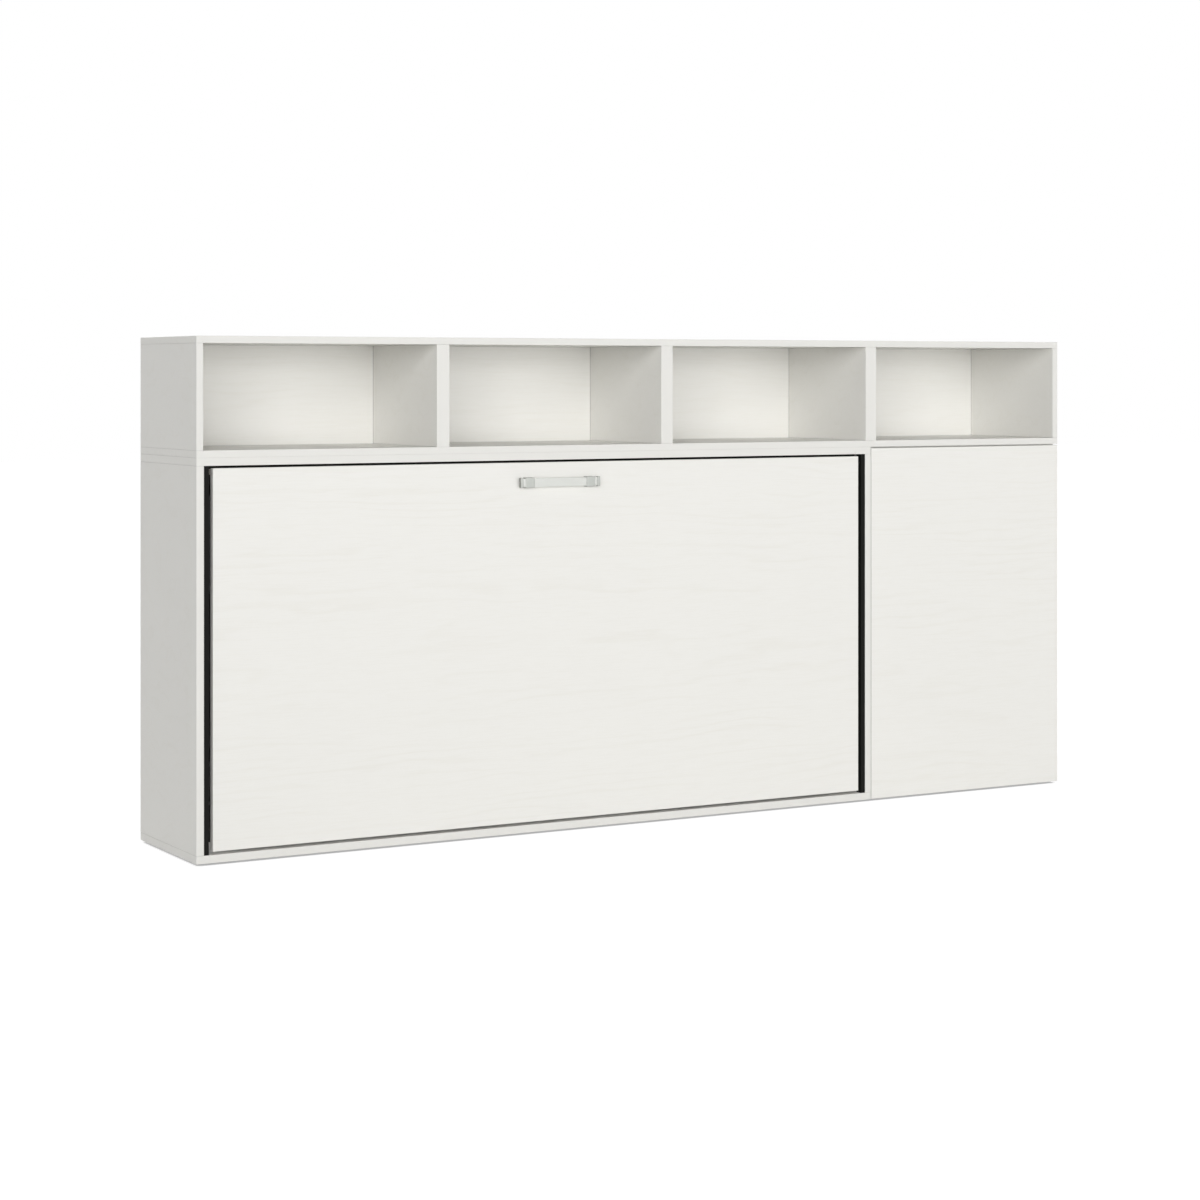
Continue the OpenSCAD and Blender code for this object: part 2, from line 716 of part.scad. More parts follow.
module arm_fixed_pulleys() color("#3a3c3e") place() {
    arm_fixed_pulley();
    mirror_desk() arm_fixed_pulley();
}

// Outline of a belt's loop round its two pulleys; extra is added to both radii
belt_lean = asin((big_r - small_r) / arm_l);
module belt_loop(extra) {
    polygon([
        [(big_r + extra) * cos(belt_lean), (big_r + extra) * sin(belt_lean)],
        [(small_r + extra) * cos(belt_lean), arm_l + (small_r + extra) * sin(belt_lean)],
        [-(small_r + extra) * cos(belt_lean), arm_l + (small_r + extra) * sin(belt_lean)],
        [-(big_r + extra) * cos(belt_lean), (big_r + extra) * sin(belt_lean)]
    ]);
    circle(big_r + extra);
    translate([0, arm_l]) circle(small_r + extra);
}

module arm_belt() translate([in_x0 + belt_s, arm_y, arm_z]) rotate([90, 0, 90])
    difference() {
        linear_extrude(belt_w) belt_loop(belt_gap + belt_t);
        translate([0, 0, -1]) linear_extrude(belt_w + 2) belt_loop(belt_gap);
    }

module arm_belt_left() color("#1c1c1c") place() arm_belt();

module arm_belt_right() color("#1c1c1c") place() mirror_desk() arm_belt();

// Bracket on the front's inner face, its pin and the pulley that turns with it
module front_hinge_bracket() {
    s0 = in_x0 + bracket_s;
    block(s0, s0 + bracket_t, front_t, arm_y,
          arm_hinge_z - bracket_half, arm_hinge_z + bracket_half);
    bar_x(s0, s0 + bracket_t, arm_y, arm_hinge_z, ear_r);
    difference() {
        block(s0, s0 + bracket_w, front_t, front_t + plate_t,
              arm_hinge_z - bracket_half, arm_hinge_z + bracket_half);
        for (s = [-1, 1])
            translate([s0 + bracket_w - screw_edge, front_t - 1,
                       arm_hinge_z + s * (bracket_half - screw_edge)])
                rotate([-90, 0, 0]) cylinder(h = plate_t + 2, r = screw_r);
    }
    bar_x(in_x0 + belt_s, s0 + 1, arm_y, arm_hinge_z, pin_r);
    pulley(arm_hinge_z, small_r, pin_r - 1);
}

module front_hinge_brackets() color("#8f9292") place() {
    front_hinge_bracket();
    mirror_desk() front_hinge_bracket();
}

// U-shaped leg: hinge tube, two uprights and a foot bar, folded up behind the front
module desk_leg() {
    x0 = in_x0 + leg_s;
    x1 = in_x1 - leg_s;
    y = front_t + leg_back;
    z1 = desk_leg_z + desk_leg_l - leg_glide_h - leg_tube_r;
    color("#b4b7b7") place() difference() {
        union() {
            for (z = [desk_leg_z, z1]) {
                bar_x(x0, x1, y, z, leg_tube_r);
                for (x = [x0, x1]) translate([x, y, z]) sphere(leg_tube_r);
            }
            for (x = [x0, x1])
                translate([x, y, desk_leg_z]) cylinder(h = z1 - desk_leg_z, r = leg_tube_r);
        }
        for (x = [x0 - leg_tube_r - 1, x1 - leg_tube_r + 1])
            bar_x(x, x + 2 * leg_tube_r, y, desk_leg_z, pin_r + run_gap);
    }
}

module desk_leg_glides() {
    z1 = desk_leg_z + desk_leg_l;
    color("#3a3b3a") place() for (x = [in_x0 + leg_s, in_x1 - leg_s])
        difference() {
            translate([x, front_t + leg_back, z1 - leg_glide_h - glide_cup])
                cylinder(h = leg_glide_h + glide_cup, r = leg_tube_r - 1);
            bar_x(in_x0 + leg_s, in_x1 - leg_s, front_t + leg_back,
                  z1 - leg_glide_h - leg_tube_r, leg_tube_r);
            translate([x, front_t + leg_back, z1 - leg_glide_h - leg_tube_r])
                sphere(leg_tube_r);
        }
}

// Ear on the front's inner face with the pin of the desk leg
module desk_leg_bracket() {
    s0 = in_x0 + leg_ear_s;
    y = front_t + leg_back;
    block(s0, s0 + bracket_t, front_t, y, desk_leg_z - ear_r, desk_leg_z + ear_r);
    bar_x(s0, s0 + bracket_t, y, desk_leg_z, ear_r);
    block(s0 - leg_plate_w, s0 + bracket_t, front_t, front_t + plate_t,
          desk_leg_z - ear_r, desk_leg_z + ear_r);
    bar_x(s0, s0 + bracket_t + leg_tube_r - 2, y, desk_leg_z, pin_r);
}

module desk_leg_brackets() color("#8f9292") place() {
    desk_leg_bracket();
    mirror_desk() desk_leg_bracket();
}

latch_x = (in_x0 + in_x1) / 2;
latch_z = shelf_z0 + latch_box_h / 2;

module push_latch_body() color("#d8d9d6") place() difference() {
    block(latch_x - latch_w / 2, latch_x + latch_w / 2, carcass_y + latch_in,
          carcass_y + latch_in + latch_len, shelf_z0, shelf_z0 + latch_box_h);
    translate([latch_x, carcass_y, latch_z]) rotate([-90, 0, 0])
        cylinder(h = latch_len - latch_in, r = latch_r + run_gap);
}

module push_latch_plunger() color("#8f9292") place()
    translate([latch_x, front_t + latch_gap, latch_z]) rotate([-90, 0, 0])
        cylinder(h = latch_len - latch_spring - latch_travel, r = latch_r);

upper_top_board();
upper_bottom_board();
upper_left_end();
upper_right_end();
upper_divider_left();
upper_divider_middle();
upper_divider_right();
upper_back_panels();
bed_side_left();
bed_side_right();
bed_top_board();
bed_bottom_board();
rear_rails();
filler_strips();
floor_glides();
wall_brackets();
bed_front_panel();
handle_bar();
handle_blocks();
handle_end_caps();
bed_frame_long_tubes();
bed_frame_end_tubes();
bed_frame_cross_bars();
bed_slats();
slat_holders();
mattress();
mattress_straps();
bed_pivot_pins();
bed_pivot_plates();
bed_frame_pins();
bed_leg_left();
bed_leg_right();
link_rod_left();
link_rod_right();
link_pivot_studs();
strut_side_studs();
strut_cylinder_left();
strut_cylinder_right();
strut_rod_left();
strut_rod_right();
side_end_panel();
side_inner_panel();
side_bottom_board();
side_top_board();
side_back_panel();
side_shelves();
shelf_pins();
desk_front();
desk_arm_left();
desk_arm_right();
arm_bearing_plates();
arm_fixed_pulleys();
arm_belt_left();
arm_belt_right();
front_hinge_brackets();
desk_leg();
desk_leg_brackets();
desk_leg_glides();
push_latch_body();
push_latch_plunger();
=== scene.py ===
import json
import math

import bmesh
import bpy
from mathutils import Matrix, Vector, noise


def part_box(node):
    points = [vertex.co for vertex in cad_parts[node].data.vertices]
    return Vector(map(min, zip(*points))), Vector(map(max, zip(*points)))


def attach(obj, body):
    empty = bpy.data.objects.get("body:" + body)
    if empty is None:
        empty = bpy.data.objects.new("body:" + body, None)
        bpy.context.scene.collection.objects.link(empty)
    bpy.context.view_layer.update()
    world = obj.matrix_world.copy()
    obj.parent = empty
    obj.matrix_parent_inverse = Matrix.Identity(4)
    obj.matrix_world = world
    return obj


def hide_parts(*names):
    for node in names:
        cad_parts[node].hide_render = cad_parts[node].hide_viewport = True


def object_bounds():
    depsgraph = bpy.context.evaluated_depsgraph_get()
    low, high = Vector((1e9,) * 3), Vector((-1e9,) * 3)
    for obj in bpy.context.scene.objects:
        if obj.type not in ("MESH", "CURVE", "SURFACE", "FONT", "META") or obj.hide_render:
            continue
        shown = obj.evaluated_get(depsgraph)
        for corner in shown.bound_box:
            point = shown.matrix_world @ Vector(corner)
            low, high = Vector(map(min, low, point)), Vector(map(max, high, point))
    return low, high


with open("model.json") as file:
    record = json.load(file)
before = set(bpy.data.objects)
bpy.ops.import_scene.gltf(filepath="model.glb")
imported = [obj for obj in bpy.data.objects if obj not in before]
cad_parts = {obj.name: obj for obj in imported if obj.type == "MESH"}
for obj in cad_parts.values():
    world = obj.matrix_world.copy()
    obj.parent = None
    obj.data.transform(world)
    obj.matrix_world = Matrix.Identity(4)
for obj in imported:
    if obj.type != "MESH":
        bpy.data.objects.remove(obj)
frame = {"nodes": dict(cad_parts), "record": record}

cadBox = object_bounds()
scene = bpy.context.scene
nodes = frame["nodes"]
mm = 0.001


def toLinear(hexText):
    channels = []
    for i in (0, 2, 4):
        c = int(hexText[i:i + 2], 16) / 255
        channels.append(c / 12.92 if c <= 0.04045 else ((c + 0.055) / 1.055) ** 2.4)
    return (*channels, 1.0)


# Adds a node, sets its sockets or options, and links its inputs
def addNode(tree, kind, settings=None, links=None):
    node = tree.nodes.new(kind)
    for key, value in (settings or {}).items():
        if isinstance(key, int) or key in node.inputs:
            node.inputs[key].default_value = value
        else:
            setattr(node, key, value)
    for key, socket in (links or {}).items():
        tree.links.new(socket, node.inputs[key])
    return node


def newMaterial(name, shader):
    mat = bpy.data.materials.new(name)
    mat.use_nodes = True
    tree = mat.node_tree
    tree.nodes.clear()
    bsdf = addNode(tree, "ShaderNodeBsdfPrincipled", shader)
    addNode(tree, "ShaderNodeOutputMaterial", links={"Surface": bsdf.outputs[0]})
    return mat, tree, bsdf


# Links a surface's colour, gloss and relief to its shader
def dressShader(tree, bsdf, paint, gloss, dent):
    for name, socket in (("Base Color", paint), ("Roughness", gloss), ("Normal", dent)):
        tree.links.new(socket, bsdf.inputs[name])


# Object coordinates, scaled, moved and turned
def objectPoint(tree, scale, shift=(0, 0, 0), turn=(0, 0, 0)):
    place = addNode(tree, "ShaderNodeTexCoord")
    return addNode(tree, "ShaderNodeMapping", {"Location": shift, "Rotation": turn, "Scale": scale},
                   {"Vector": place.outputs["Object"]}).outputs[0]


def giveMaterial(obj, *mats):
    obj.data.materials.clear()
    for mat in mats:
        obj.data.materials.append(mat)


def addModifier(obj, kind, **settings):
    mod = obj.modifiers.new(kind.lower(), kind)
    for key, value in settings.items():
        setattr(mod, key, value)
    return mod


# Turns a bmesh into a piece of the object that rides on a body
def newPiece(name, bm, mats, body, sharp=38):
    bmesh.ops.recalc_face_normals(bm, faces=bm.faces)
    mesh = bpy.data.meshes.new(name)
    bm.to_mesh(mesh)
    bm.free()
    obj = bpy.data.objects.new(name, mesh)
    scene.collection.objects.link(obj)
    for face in mesh.polygons:
        face.use_smooth = True
    for mat in mats:
        mesh.materials.append(mat)
    mesh.set_sharp_from_angle(angle=math.radians(sharp))
    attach(obj, body)
    return obj


# A box with rounded edges between two corners
def addBox(bm, low, high, edge=0.0, steps=2, paint=0):
    size = [b - a for a, b in zip(low, high)]
    place = Matrix.Translation([(a + b) / 2 for a, b in zip(low, high)]) @ Matrix.Diagonal((*size, 1))
    verts = bmesh.ops.create_cube(bm, size=1, matrix=place)["verts"]
    faces = list({f for v in verts for f in v.link_faces})
    for face in faces:
        face.material_index = paint
    if edge:
        edges = list({e for f in faces for e in f.edges})
        bmesh.ops.bevel(bm, geom=edges, offset=edge, segments=steps, affect="EDGES", profile=0.5,
                        clamp_overlap=True, material=-1)


# A turned piece: steps are (along, radius, corners) and corners 0 is round. The profile starts and
# ends on the axis.
def addTurned(bm, start, axis, steps, sides=20, paint=0):
    along = Vector(axis).normalized()
    across = along.orthogonal().normalized()
    other = along.cross(across)
    rings = []
    for at, radius, corners in steps:
        middle = Vector(start) + along * at
        if radius == 0:
            rings.append([bm.verts.new(middle)])
            continue
        ring = []
        for i in range(sides):
            turn = 2 * math.pi * i / sides
            reach = radius
            if corners:
                part = 2 * math.pi / corners
                reach = radius * math.cos(part / 2) / math.cos(turn % part - part / 2)
            ring.append(bm.verts.new(middle + (across * math.cos(turn) + other * math.sin(turn)) * reach))
        rings.append(ring)
    for one, two in zip(rings, rings[1:]):
        for i in range(sides):
            j = (i + 1) % sides
            corner = [one[i % len(one)], one[j % len(one)], two[j % len(two)], two[i % len(two)]]
            corner = list(dict.fromkeys(corner))
            bm.faces.new(corner).material_index = paint


# Sweeps an outline of (side, up) offsets along a path; up is the outline's second direction
def addSweep(bm, path, outline, up, closed=False, paint=0):
    up = Vector(up)
    count = len(path)
    rings = []
    for i, point in enumerate(path):
        after = path[(i + 1) % count] if closed or i + 1 < count else point
        before = path[i - 1] if closed or i else point
        run = (Vector(after) - Vector(before)).normalized()
        side = run.cross(up).normalized()
        top = side.cross(run)
        rings.append([bm.verts.new(Vector(point) + side * a + top * b) for a, b in outline(i)])
    pairs = list(zip(rings, rings[1:])) + ([(rings[-1], rings[0])] if closed else [])
    for one, two in pairs:
        for i in range(len(one)):
            j = (i + 1) % len(one)
            bm.faces.new((one[i], one[j], two[j], two[i])).material_index = paint
    if not closed:
        for ring in (rings[0], rings[-1]):
            bm.faces.new(ring).material_index = paint


def roundOutline(radius, sides=8):
    turns = [2 * math.pi * i / sides for i in range(sides)]
    return [(radius * math.cos(t), radius * math.sin(t)) for t in turns]


# A flat band's outline with rounded edges
def bandOutline(width, thick):
    w = width / 2
    t = thick / 2
    c = t * 0.6
    return [(-w, -t + c), (-w + c, -t), (w - c, -t), (w, -t + c),
            (w, t - c), (w - c, t), (-w + c, t), (-w, t - c)]


camera = {
    "lens": 79.3,            # mm on a 36 mm sensor, from the two vanishing points
    "turn": 29.67,           # degrees to the right of straight on
    "back": (2.416, 6.298),  # metres left of and in front of the cabinet's front left corner
    "height": 1.242,
    "rise": -0.188,          # the horizon lies above the middle of the picture
}
cameraData = bpy.data.cameras.new("photoCamera")
cameraData.lens = camera["lens"]
cameraData.sensor_width = 36
cameraData.shift_y = camera["rise"]
cameraData.clip_end = 100
photoCamera = bpy.data.objects.new("photoCamera", cameraData)
scene.collection.objects.link(photoCamera)
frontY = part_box("bed_front_panel")[0].y
photoCamera.location = (cadBox[0].x - camera["back"][0], frontY - camera["back"][1], camera["height"])
photoCamera.rotation_euler = (math.radians(90), 0, -math.radians(camera["turn"]))
scene.camera = photoCamera
scene.view_settings.view_transform = "Standard"
print("camera placed")

studio = {
    "fill": 0.11,            # even light from all round
    "front": 380,            # watts of the wide soft box in front
    "frontSize": (10, 4),
    "frontAt": (0, -9, 1.1),
    "key": 1.76,             # low sun through a wide window, from the front left
    "keyTilt": 82,           # degrees from straight down
    "keyTurn": -35,
    "top": 0.70,             # faint light from above
    "rear": 0.9,             # lights the back for the views from there
    "rearTilt": -60,
    "softness": 40,          # degrees across each sun
    "floor": "e4e4e2",
    "floorGlow": 0.88,       # what the camera sees of the floor, apart from its shadow
    "floorShade": 0.30,
    "paintedShadowReach": 60,      # mm from a board within which the floor gets a painted contact shadow
    "paintedShadowTone": 0.4,      # share of its glow left in that painted shadow
    "floorReach": 30,
}
world = bpy.data.worlds.new("studioWorld")
scene.world = world
world.use_nodes = True
wt = world.node_tree
wt.nodes.clear()


# 1 where the camera sees the background, straight or in glass or metal
def seenByCamera(tree):
    path = addNode(tree, "ShaderNodeLightPath")
    seen = addNode(tree, "ShaderNodeMath", {"operation": "MAXIMUM"},
                   {0: path.outputs["Is Camera Ray"], 1: path.outputs["Is Glossy Ray"]})
    return addNode(tree, "ShaderNodeMath", {"operation": "MAXIMUM"},
                   {0: seen.outputs[0], 1: path.outputs["Is Transmission Ray"]}).outputs[0]


level = addNode(wt, "ShaderNodeMapRange", {"To Min": studio["fill"], "To Max": 1.0},
                {"Value": seenByCamera(wt)})
sky = addNode(wt, "ShaderNodeBackground", {"Color": (1, 1, 1, 1)}, {"Strength": level.outputs[0]})
addNode(wt, "ShaderNodeOutputWorld", links={"Surface": sky.outputs[0]})


def addLamp(name, kind, energy, tilt, turn=0, **settings):
    lamp = bpy.data.objects.new(name, bpy.data.lights.new(name, kind))
    lamp.data.energy = energy
    lamp.rotation_euler = (math.radians(tilt), 0, math.radians(turn))
    for key, value in settings.items():
        setattr(lamp.data, key, value)
    scene.collection.objects.link(lamp)
    return lamp


softness = math.radians(studio["softness"])
addLamp("keyLamp", "SUN", studio["key"], studio["keyTilt"], studio["keyTurn"], angle=softness)
addLamp("topLamp", "SUN", studio["top"], 0, angle=softness)
addLamp("rearLamp", "SUN", studio["rear"], studio["rearTilt"], angle=softness)
softBox = addLamp("frontLamp", "AREA", studio["front"], 90, shape="RECTANGLE",
                  size=studio["frontSize"][0], size_y=studio["frontSize"][1])
softBox.location = studio["frontAt"]
softBox.visible_camera = False

floorBm = bmesh.new()
bmesh.ops.create_grid(floorBm, x_segments=1, y_segments=1, size=studio["floorReach"])
floorMesh = bpy.data.meshes.new("studioFloor")
floorBm.to_mesh(floorMesh)
floorBm.free()
floor = bpy.data.objects.new("studioFloor", floorMesh)
scene.collection.objects.link(floor)
floor.location.z = -0.5 * mm

# Matt white paper. To the eye it is the backdrop, with a painted contact shadow: a dark line where the
# cabinets stand on it
floorMat, ft, floorBsdf = newMaterial("paper floor", {"Base Color": toLinear(studio["floor"]),
                                                      "Roughness": 0.9})
# Painted contact shadow: what the camera sees of the floor glows less where ambient occlusion finds a
# cabinet near
near = addNode(ft, "ShaderNodeAmbientOcclusion",
               {"samples": 16, "Distance": studio["paintedShadowReach"] * mm})
lit = addNode(ft, "ShaderNodeMapRange",
              {"From Min": 0.05, "From Max": 0.4, "To Min": studio["floorGlow"] * studio["paintedShadowTone"],
               "To Max": studio["floorGlow"]}, {"Value": near.outputs["AO"]})
glow = addNode(ft, "ShaderNodeEmission", {"Color": (1, 1, 1, 1)}, {"Strength": lit.outputs[0]})
shade = addNode(ft, "ShaderNodeBsdfDiffuse", {"Color": (studio["floorShade"],) * 3 + (1,)})
shown = addNode(ft, "ShaderNodeAddShader", links={0: glow.outputs[0], 1: shade.outputs[0]})
mixed = addNode(ft, "ShaderNodeMixShader",
                links={0: seenByCamera(ft), 1: floorBsdf.outputs[0], 2: shown.outputs[0]})
ft.links.new(mixed.outputs[0], ft.nodes["Material Output"].inputs["Surface"])
giveMaterial(floor, floorMat)
print("studio lit")

# White ash-effect melamine: printed paper under resin, pressed with a fine pore texture. To the
# eye it is near-white and even, with a faint long grain, slow flame figures and a satin sheen.
ash = {
    "plain": "ebeae6",
    # The back panels' lighter tint is painted light, lifting the shaded backs of the bays
    "back": "f0efeb",
    "shadedEdgeTape": "e3e2de",     # tape along the boards' front edges, toned darker as painted shade against the extra light their rounded edges catch
    "tape": 0.9,            # mm thick
    "joint": 3,             # mm within which painted shade darkens joints, creases and inside corners; the next value is the share of colour left there
    "creaseShadeTone": 0.62,
    "darker": 0.965,        # how much darker the late wood is
    "fibre": (70, 3.2),     # mm along and across; real pores are 0.3 mm wide, too fine to show
    "ring": 21,             # mm between growth rings
    "late": 4.0,            # higher makes the late wood of each ring narrower
    "waver": (420, 60),     # mm over which the rings wander
    "wander": 0.075,        # m that they wander
    "flat": 0.060,          # how flat the flame figure lies
    "poreShare": 0.42,
    "ringShare": 0.55,
    "roughness": 0.46,
    "pore": 0.4,            # mm, how deep the pores are drawn
}


# along is the grain's axis, middle the place of the flame figure in metres, figure its strength
def ashMelamine(name, tint, along, middle, shift, figure, shadedEdgeTape=True):
    mat, tree, bsdf = newMaterial(name, {"Roughness": ash["roughness"], "IOR": 1.5,
                                         "Specular IOR Level": 0.35})
    turn = (0, 0, 0) if along == "X" else (0, 0, math.radians(90))
    fibreLong, fibreWide = (1 / (v * mm) for v in ash["fibre"])
    fine = objectPoint(tree, (fibreLong, fibreWide, fibreWide), (shift * 31, shift * 17, shift * 7), turn)
    fibre = addNode(tree, "ShaderNodeTexNoise", {"Scale": 1.0, "Detail": 3.0, "Roughness": 0.62},
                    {"Vector": fine})
    waverLong, waverWide = (1 / (v * mm) for v in ash["waver"])
    slow = objectPoint(tree, (waverLong, waverWide, waverWide), (shift * 5, shift * 3, shift), turn)
    waver = addNode(tree, "ShaderNodeTexNoise", {"Scale": 1.0, "Detail": 2.0}, {"Vector": slow})
    flame = objectPoint(tree, (ash["flat"], 1, 1), (-middle[0] * ash["flat"], -middle[1], -middle[2]), turn)
    reach = addNode(tree, "ShaderNodeVectorMath", {"operation": "LENGTH"}, {0: flame})
    rings = addNode(tree, "ShaderNodeMath", {"operation": "MULTIPLY_ADD", 1: ash["wander"]},
                    {0: waver.outputs["Fac"], 2: reach.outputs["Value"]})
    phase = addNode(tree, "ShaderNodeMath", {"operation": "MULTIPLY", 1: 2 * math.pi / (ash["ring"] * mm)},
                    {0: rings.outputs[0]})
    sine = addNode(tree, "ShaderNodeMath", {"operation": "SINE"}, {0: phase.outputs[0]})
    wave = addNode(tree, "ShaderNodeMapRange", {"From Min": -1.0}, {"Value": sine.outputs[0]})
    late = addNode(tree, "ShaderNodeMath", {"operation": "POWER", 1: ash["late"]}, {0: wave.outputs[0]})
    pores = addNode(tree, "ShaderNodeMapRange", {"From Min": 0.46, "From Max": 0.66},
                    {"Value": fibre.outputs["Fac"]})
    cloud = addNode(tree, "ShaderNodeMapRange", {"From Min": 0.40, "From Max": 0.64},
                    {"Value": waver.outputs["Fac"]})
    ringed = addNode(tree, "ShaderNodeMath", {"operation": "MULTIPLY"},
                     {0: late.outputs[0], 1: cloud.outputs[0]})
    faint = addNode(tree, "ShaderNodeMath", {"operation": "MULTIPLY", 1: ash["poreShare"]},
                    {0: pores.outputs[0]})
    veil = addNode(tree, "ShaderNodeMath", {"operation": "MULTIPLY_ADD", 1: ash["ringShare"] * figure},
                   {0: ringed.outputs[0], 2: faint.outputs[0]})
    light = toLinear(tint)
    warmer = (1, 0.995, 0.98)
    dark = (*(c * ash["darker"] * w for c, w in zip(light, warmer)), 1)
    paint = addNode(tree, "ShaderNodeMix", {"data_type": "RGBA", "clamp_factor": True, 6: light, 7: dark},
                    {0: veil.outputs[0]})
    surface = paint.outputs[2]
    # The tape along the front edges is real, but its darker tone is painted shade that evens out the extra
    # light the rounded edges catch
    if shadedEdgeTape:
        place = addNode(tree, "ShaderNodeSeparateXYZ", links={0: objectPoint(tree, (1, 1, 1))})
        taped = addNode(tree, "ShaderNodeMath", {"operation": "LESS_THAN", 1: frontY + ash["tape"] * mm},
                        {0: place.outputs["Y"]})
        surface = addNode(tree, "ShaderNodeMix", {"data_type": "RGBA", 7: toLinear(ash["shadedEdgeTape"])},
                          {0: taped.outputs[0], 6: surface}).outputs[2]
    # Painted shade: the colour is darkened wherever ambient occlusion finds another surface within that
    # reach, in joints, creases and inside corners
    creaseShade = addNode(tree, "ShaderNodeAmbientOcclusion", {"samples": 8, "Distance": ash["joint"] * mm})
    depth = addNode(tree, "ShaderNodeMapRange",
                    {"From Min": 0.3, "From Max": 0.9, "To Min": ash["creaseShadeTone"]},
                    {"Value": creaseShade.outputs["AO"]})
    shaded = addNode(tree, "ShaderNodeVectorMath", {"operation": "SCALE"},
                     {0: surface, "Scale": depth.outputs[0]})
    gloss = addNode(tree, "ShaderNodeMapRange",
                    {"To Min": ash["roughness"] - 0.04, "To Max": ash["roughness"] + 0.10},
                    {"Value": veil.outputs[0]})
    dent = addNode(tree, "ShaderNodeBump", {"Strength": 0.05, "Distance": ash["pore"] * mm, "invert": True},
                   {"Height": veil.outputs[0]})
    dressShader(tree, bsdf, shaded.outputs[0], gloss.outputs[0], dent.outputs[0])
    return mat


# A plain finish whose tone and gloss vary a little over grains of the given size in mm
def speckled(name, base, other, roughness, grain, bump, **shader):
    settings = {"Roughness": roughness, "Base Color": toLinear(base)}
    settings.update(shader)
    mat, tree, bsdf = newMaterial(name, settings)
    spot = objectPoint(tree, (1 / (grain * mm),) * 3)
    speck = addNode(tree, "ShaderNodeTexNoise", {"Scale": 1.0, "Detail": 4.0, "Roughness": 0.6},
                    {"Vector": spot})
    cloud = addNode(tree, "ShaderNodeTexNoise", {"Scale": 0.06, "Detail": 2.0}, {"Vector": spot})
    tone = addNode(tree, "ShaderNodeMix", {"data_type": "FLOAT", 0: 0.5},
                   {2: speck.outputs["Fac"], 3: cloud.outputs["Fac"]})
    paint = addNode(tree, "ShaderNodeMix", {"data_type": "RGBA", 6: toLinear(base), 7: toLinear(other)},
                    {0: tone.outputs[0]})
    gloss = addNode(tree, "ShaderNodeMapRange", {"To Min": roughness - 0.06, "To Max": roughness + 0.08},
                    {"Value": tone.outputs[0]})
    dent = addNode(tree, "ShaderNodeBump", {"Strength": bump, "Distance": 0.3 * mm},
                   {"Height": speck.outputs["Fac"]})
    dressShader(tree, bsdf, paint.outputs[2], gloss.outputs[0], dent.outputs[0])
    return mat


bedMiddle = (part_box("bed_front_panel")[0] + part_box("bed_front_panel")[1]) / 2
deskMiddle = (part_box("desk_front")[0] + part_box("desk_front")[1]) / 2
bedFrontFinish = ashMelamine("ash melamine, bed front", ash["plain"], "X",
                             (-1.9, 0.03, bedMiddle.z + 0.02), 0.3, 1.0, shadedEdgeTape=False)
deskFrontFinish = ashMelamine("ash melamine, desk front", ash["plain"], "X",
                              (3.1, 0.05, deskMiddle.z - 0.24), 1.7, 1.0, shadedEdgeTape=False)
boardFinish = ashMelamine("ash melamine, long boards", ash["plain"], "X", (0.4, 0.5, 0.3), 4.1, 0.5)
sideFinish = ashMelamine("ash melamine, side boards", ash["plain"], "Y", (0.3, -0.9, 0.8), 7.7, 0.7)
# Its lighter tint is painted light for the shaded backs of the bays; the board is the same as the others
backFinish = ashMelamine("ash melamine, back panels", ash["back"], "X", (-0.7, 0.2, 1.16), 2.2, 0.7)

# Moulded black strip: matt plastic, soft grey highlights along its edges
stripFinish = speckled("matt black strip", "151513", "10100e", 0.62, 3, 0.1,
                       **{"Specular IOR Level": 0.1})
# Satin anodised aluminium: even grey metal with wide, blurred reflections and no grain
satinFinish = speckled("satin anodised aluminium", "9fa19d", "969894", 0.42, 2, 0.05, Metallic=1.0)
# Powder-coated steel: fine orange-peel skin, satin
blackSteelFinish = speckled("powder-coated steel, black", "1d1e1e", "141515", 0.42, 1.5, 0.35)
greySteelFinish = speckled("powder-coated steel, grey", "a9acac", "9da0a0", 0.40, 1.5, 0.35)
# Zinc-plated steel: cool grey metal, cloudy
zincFinish = speckled("zinc-plated steel", "b4b8ba", "9a9fa2", 0.34, 8, 0.1, Metallic=1.0)
# Hard-chromed rod: bright, nearly a mirror, with the faint haze of fine grinding
chromeFinish = speckled("ground chromed steel", "d5d8d9", "cdd0d1", 0.14, 4, 0.02, Metallic=1.0)
# Moulded nylon: matt black with a fine spark-eroded skin
nylonFinish = speckled("moulded nylon, black", "242525", "1b1c1c", 0.5, 1.2, 0.2)
# Moulded ABS: pale grey, a little shinier than nylon
absFinish = speckled("moulded ABS, light grey", "cfd1ce", "c6c8c5", 0.45, 1.2, 0.15)
# Moulded rubber: dull, dark, slightly dusty
rubberFinish = speckled("moulded rubber", "3c3d39", "2f302d", 0.75, 1.5, 0.25)
# Neoprene: matt black, near velvet
beltFinish = speckled("neoprene belt", "1b1b1b", "131313", 0.7, 1.0, 0.25)


acrylic = {
    "tints": ("e4e5e1", "dcded9"),
    "grain": 0.8,           # mm
    "gloss": (0.26, 0.38),
    "depth": 8,             # mm that light reaches into it
}


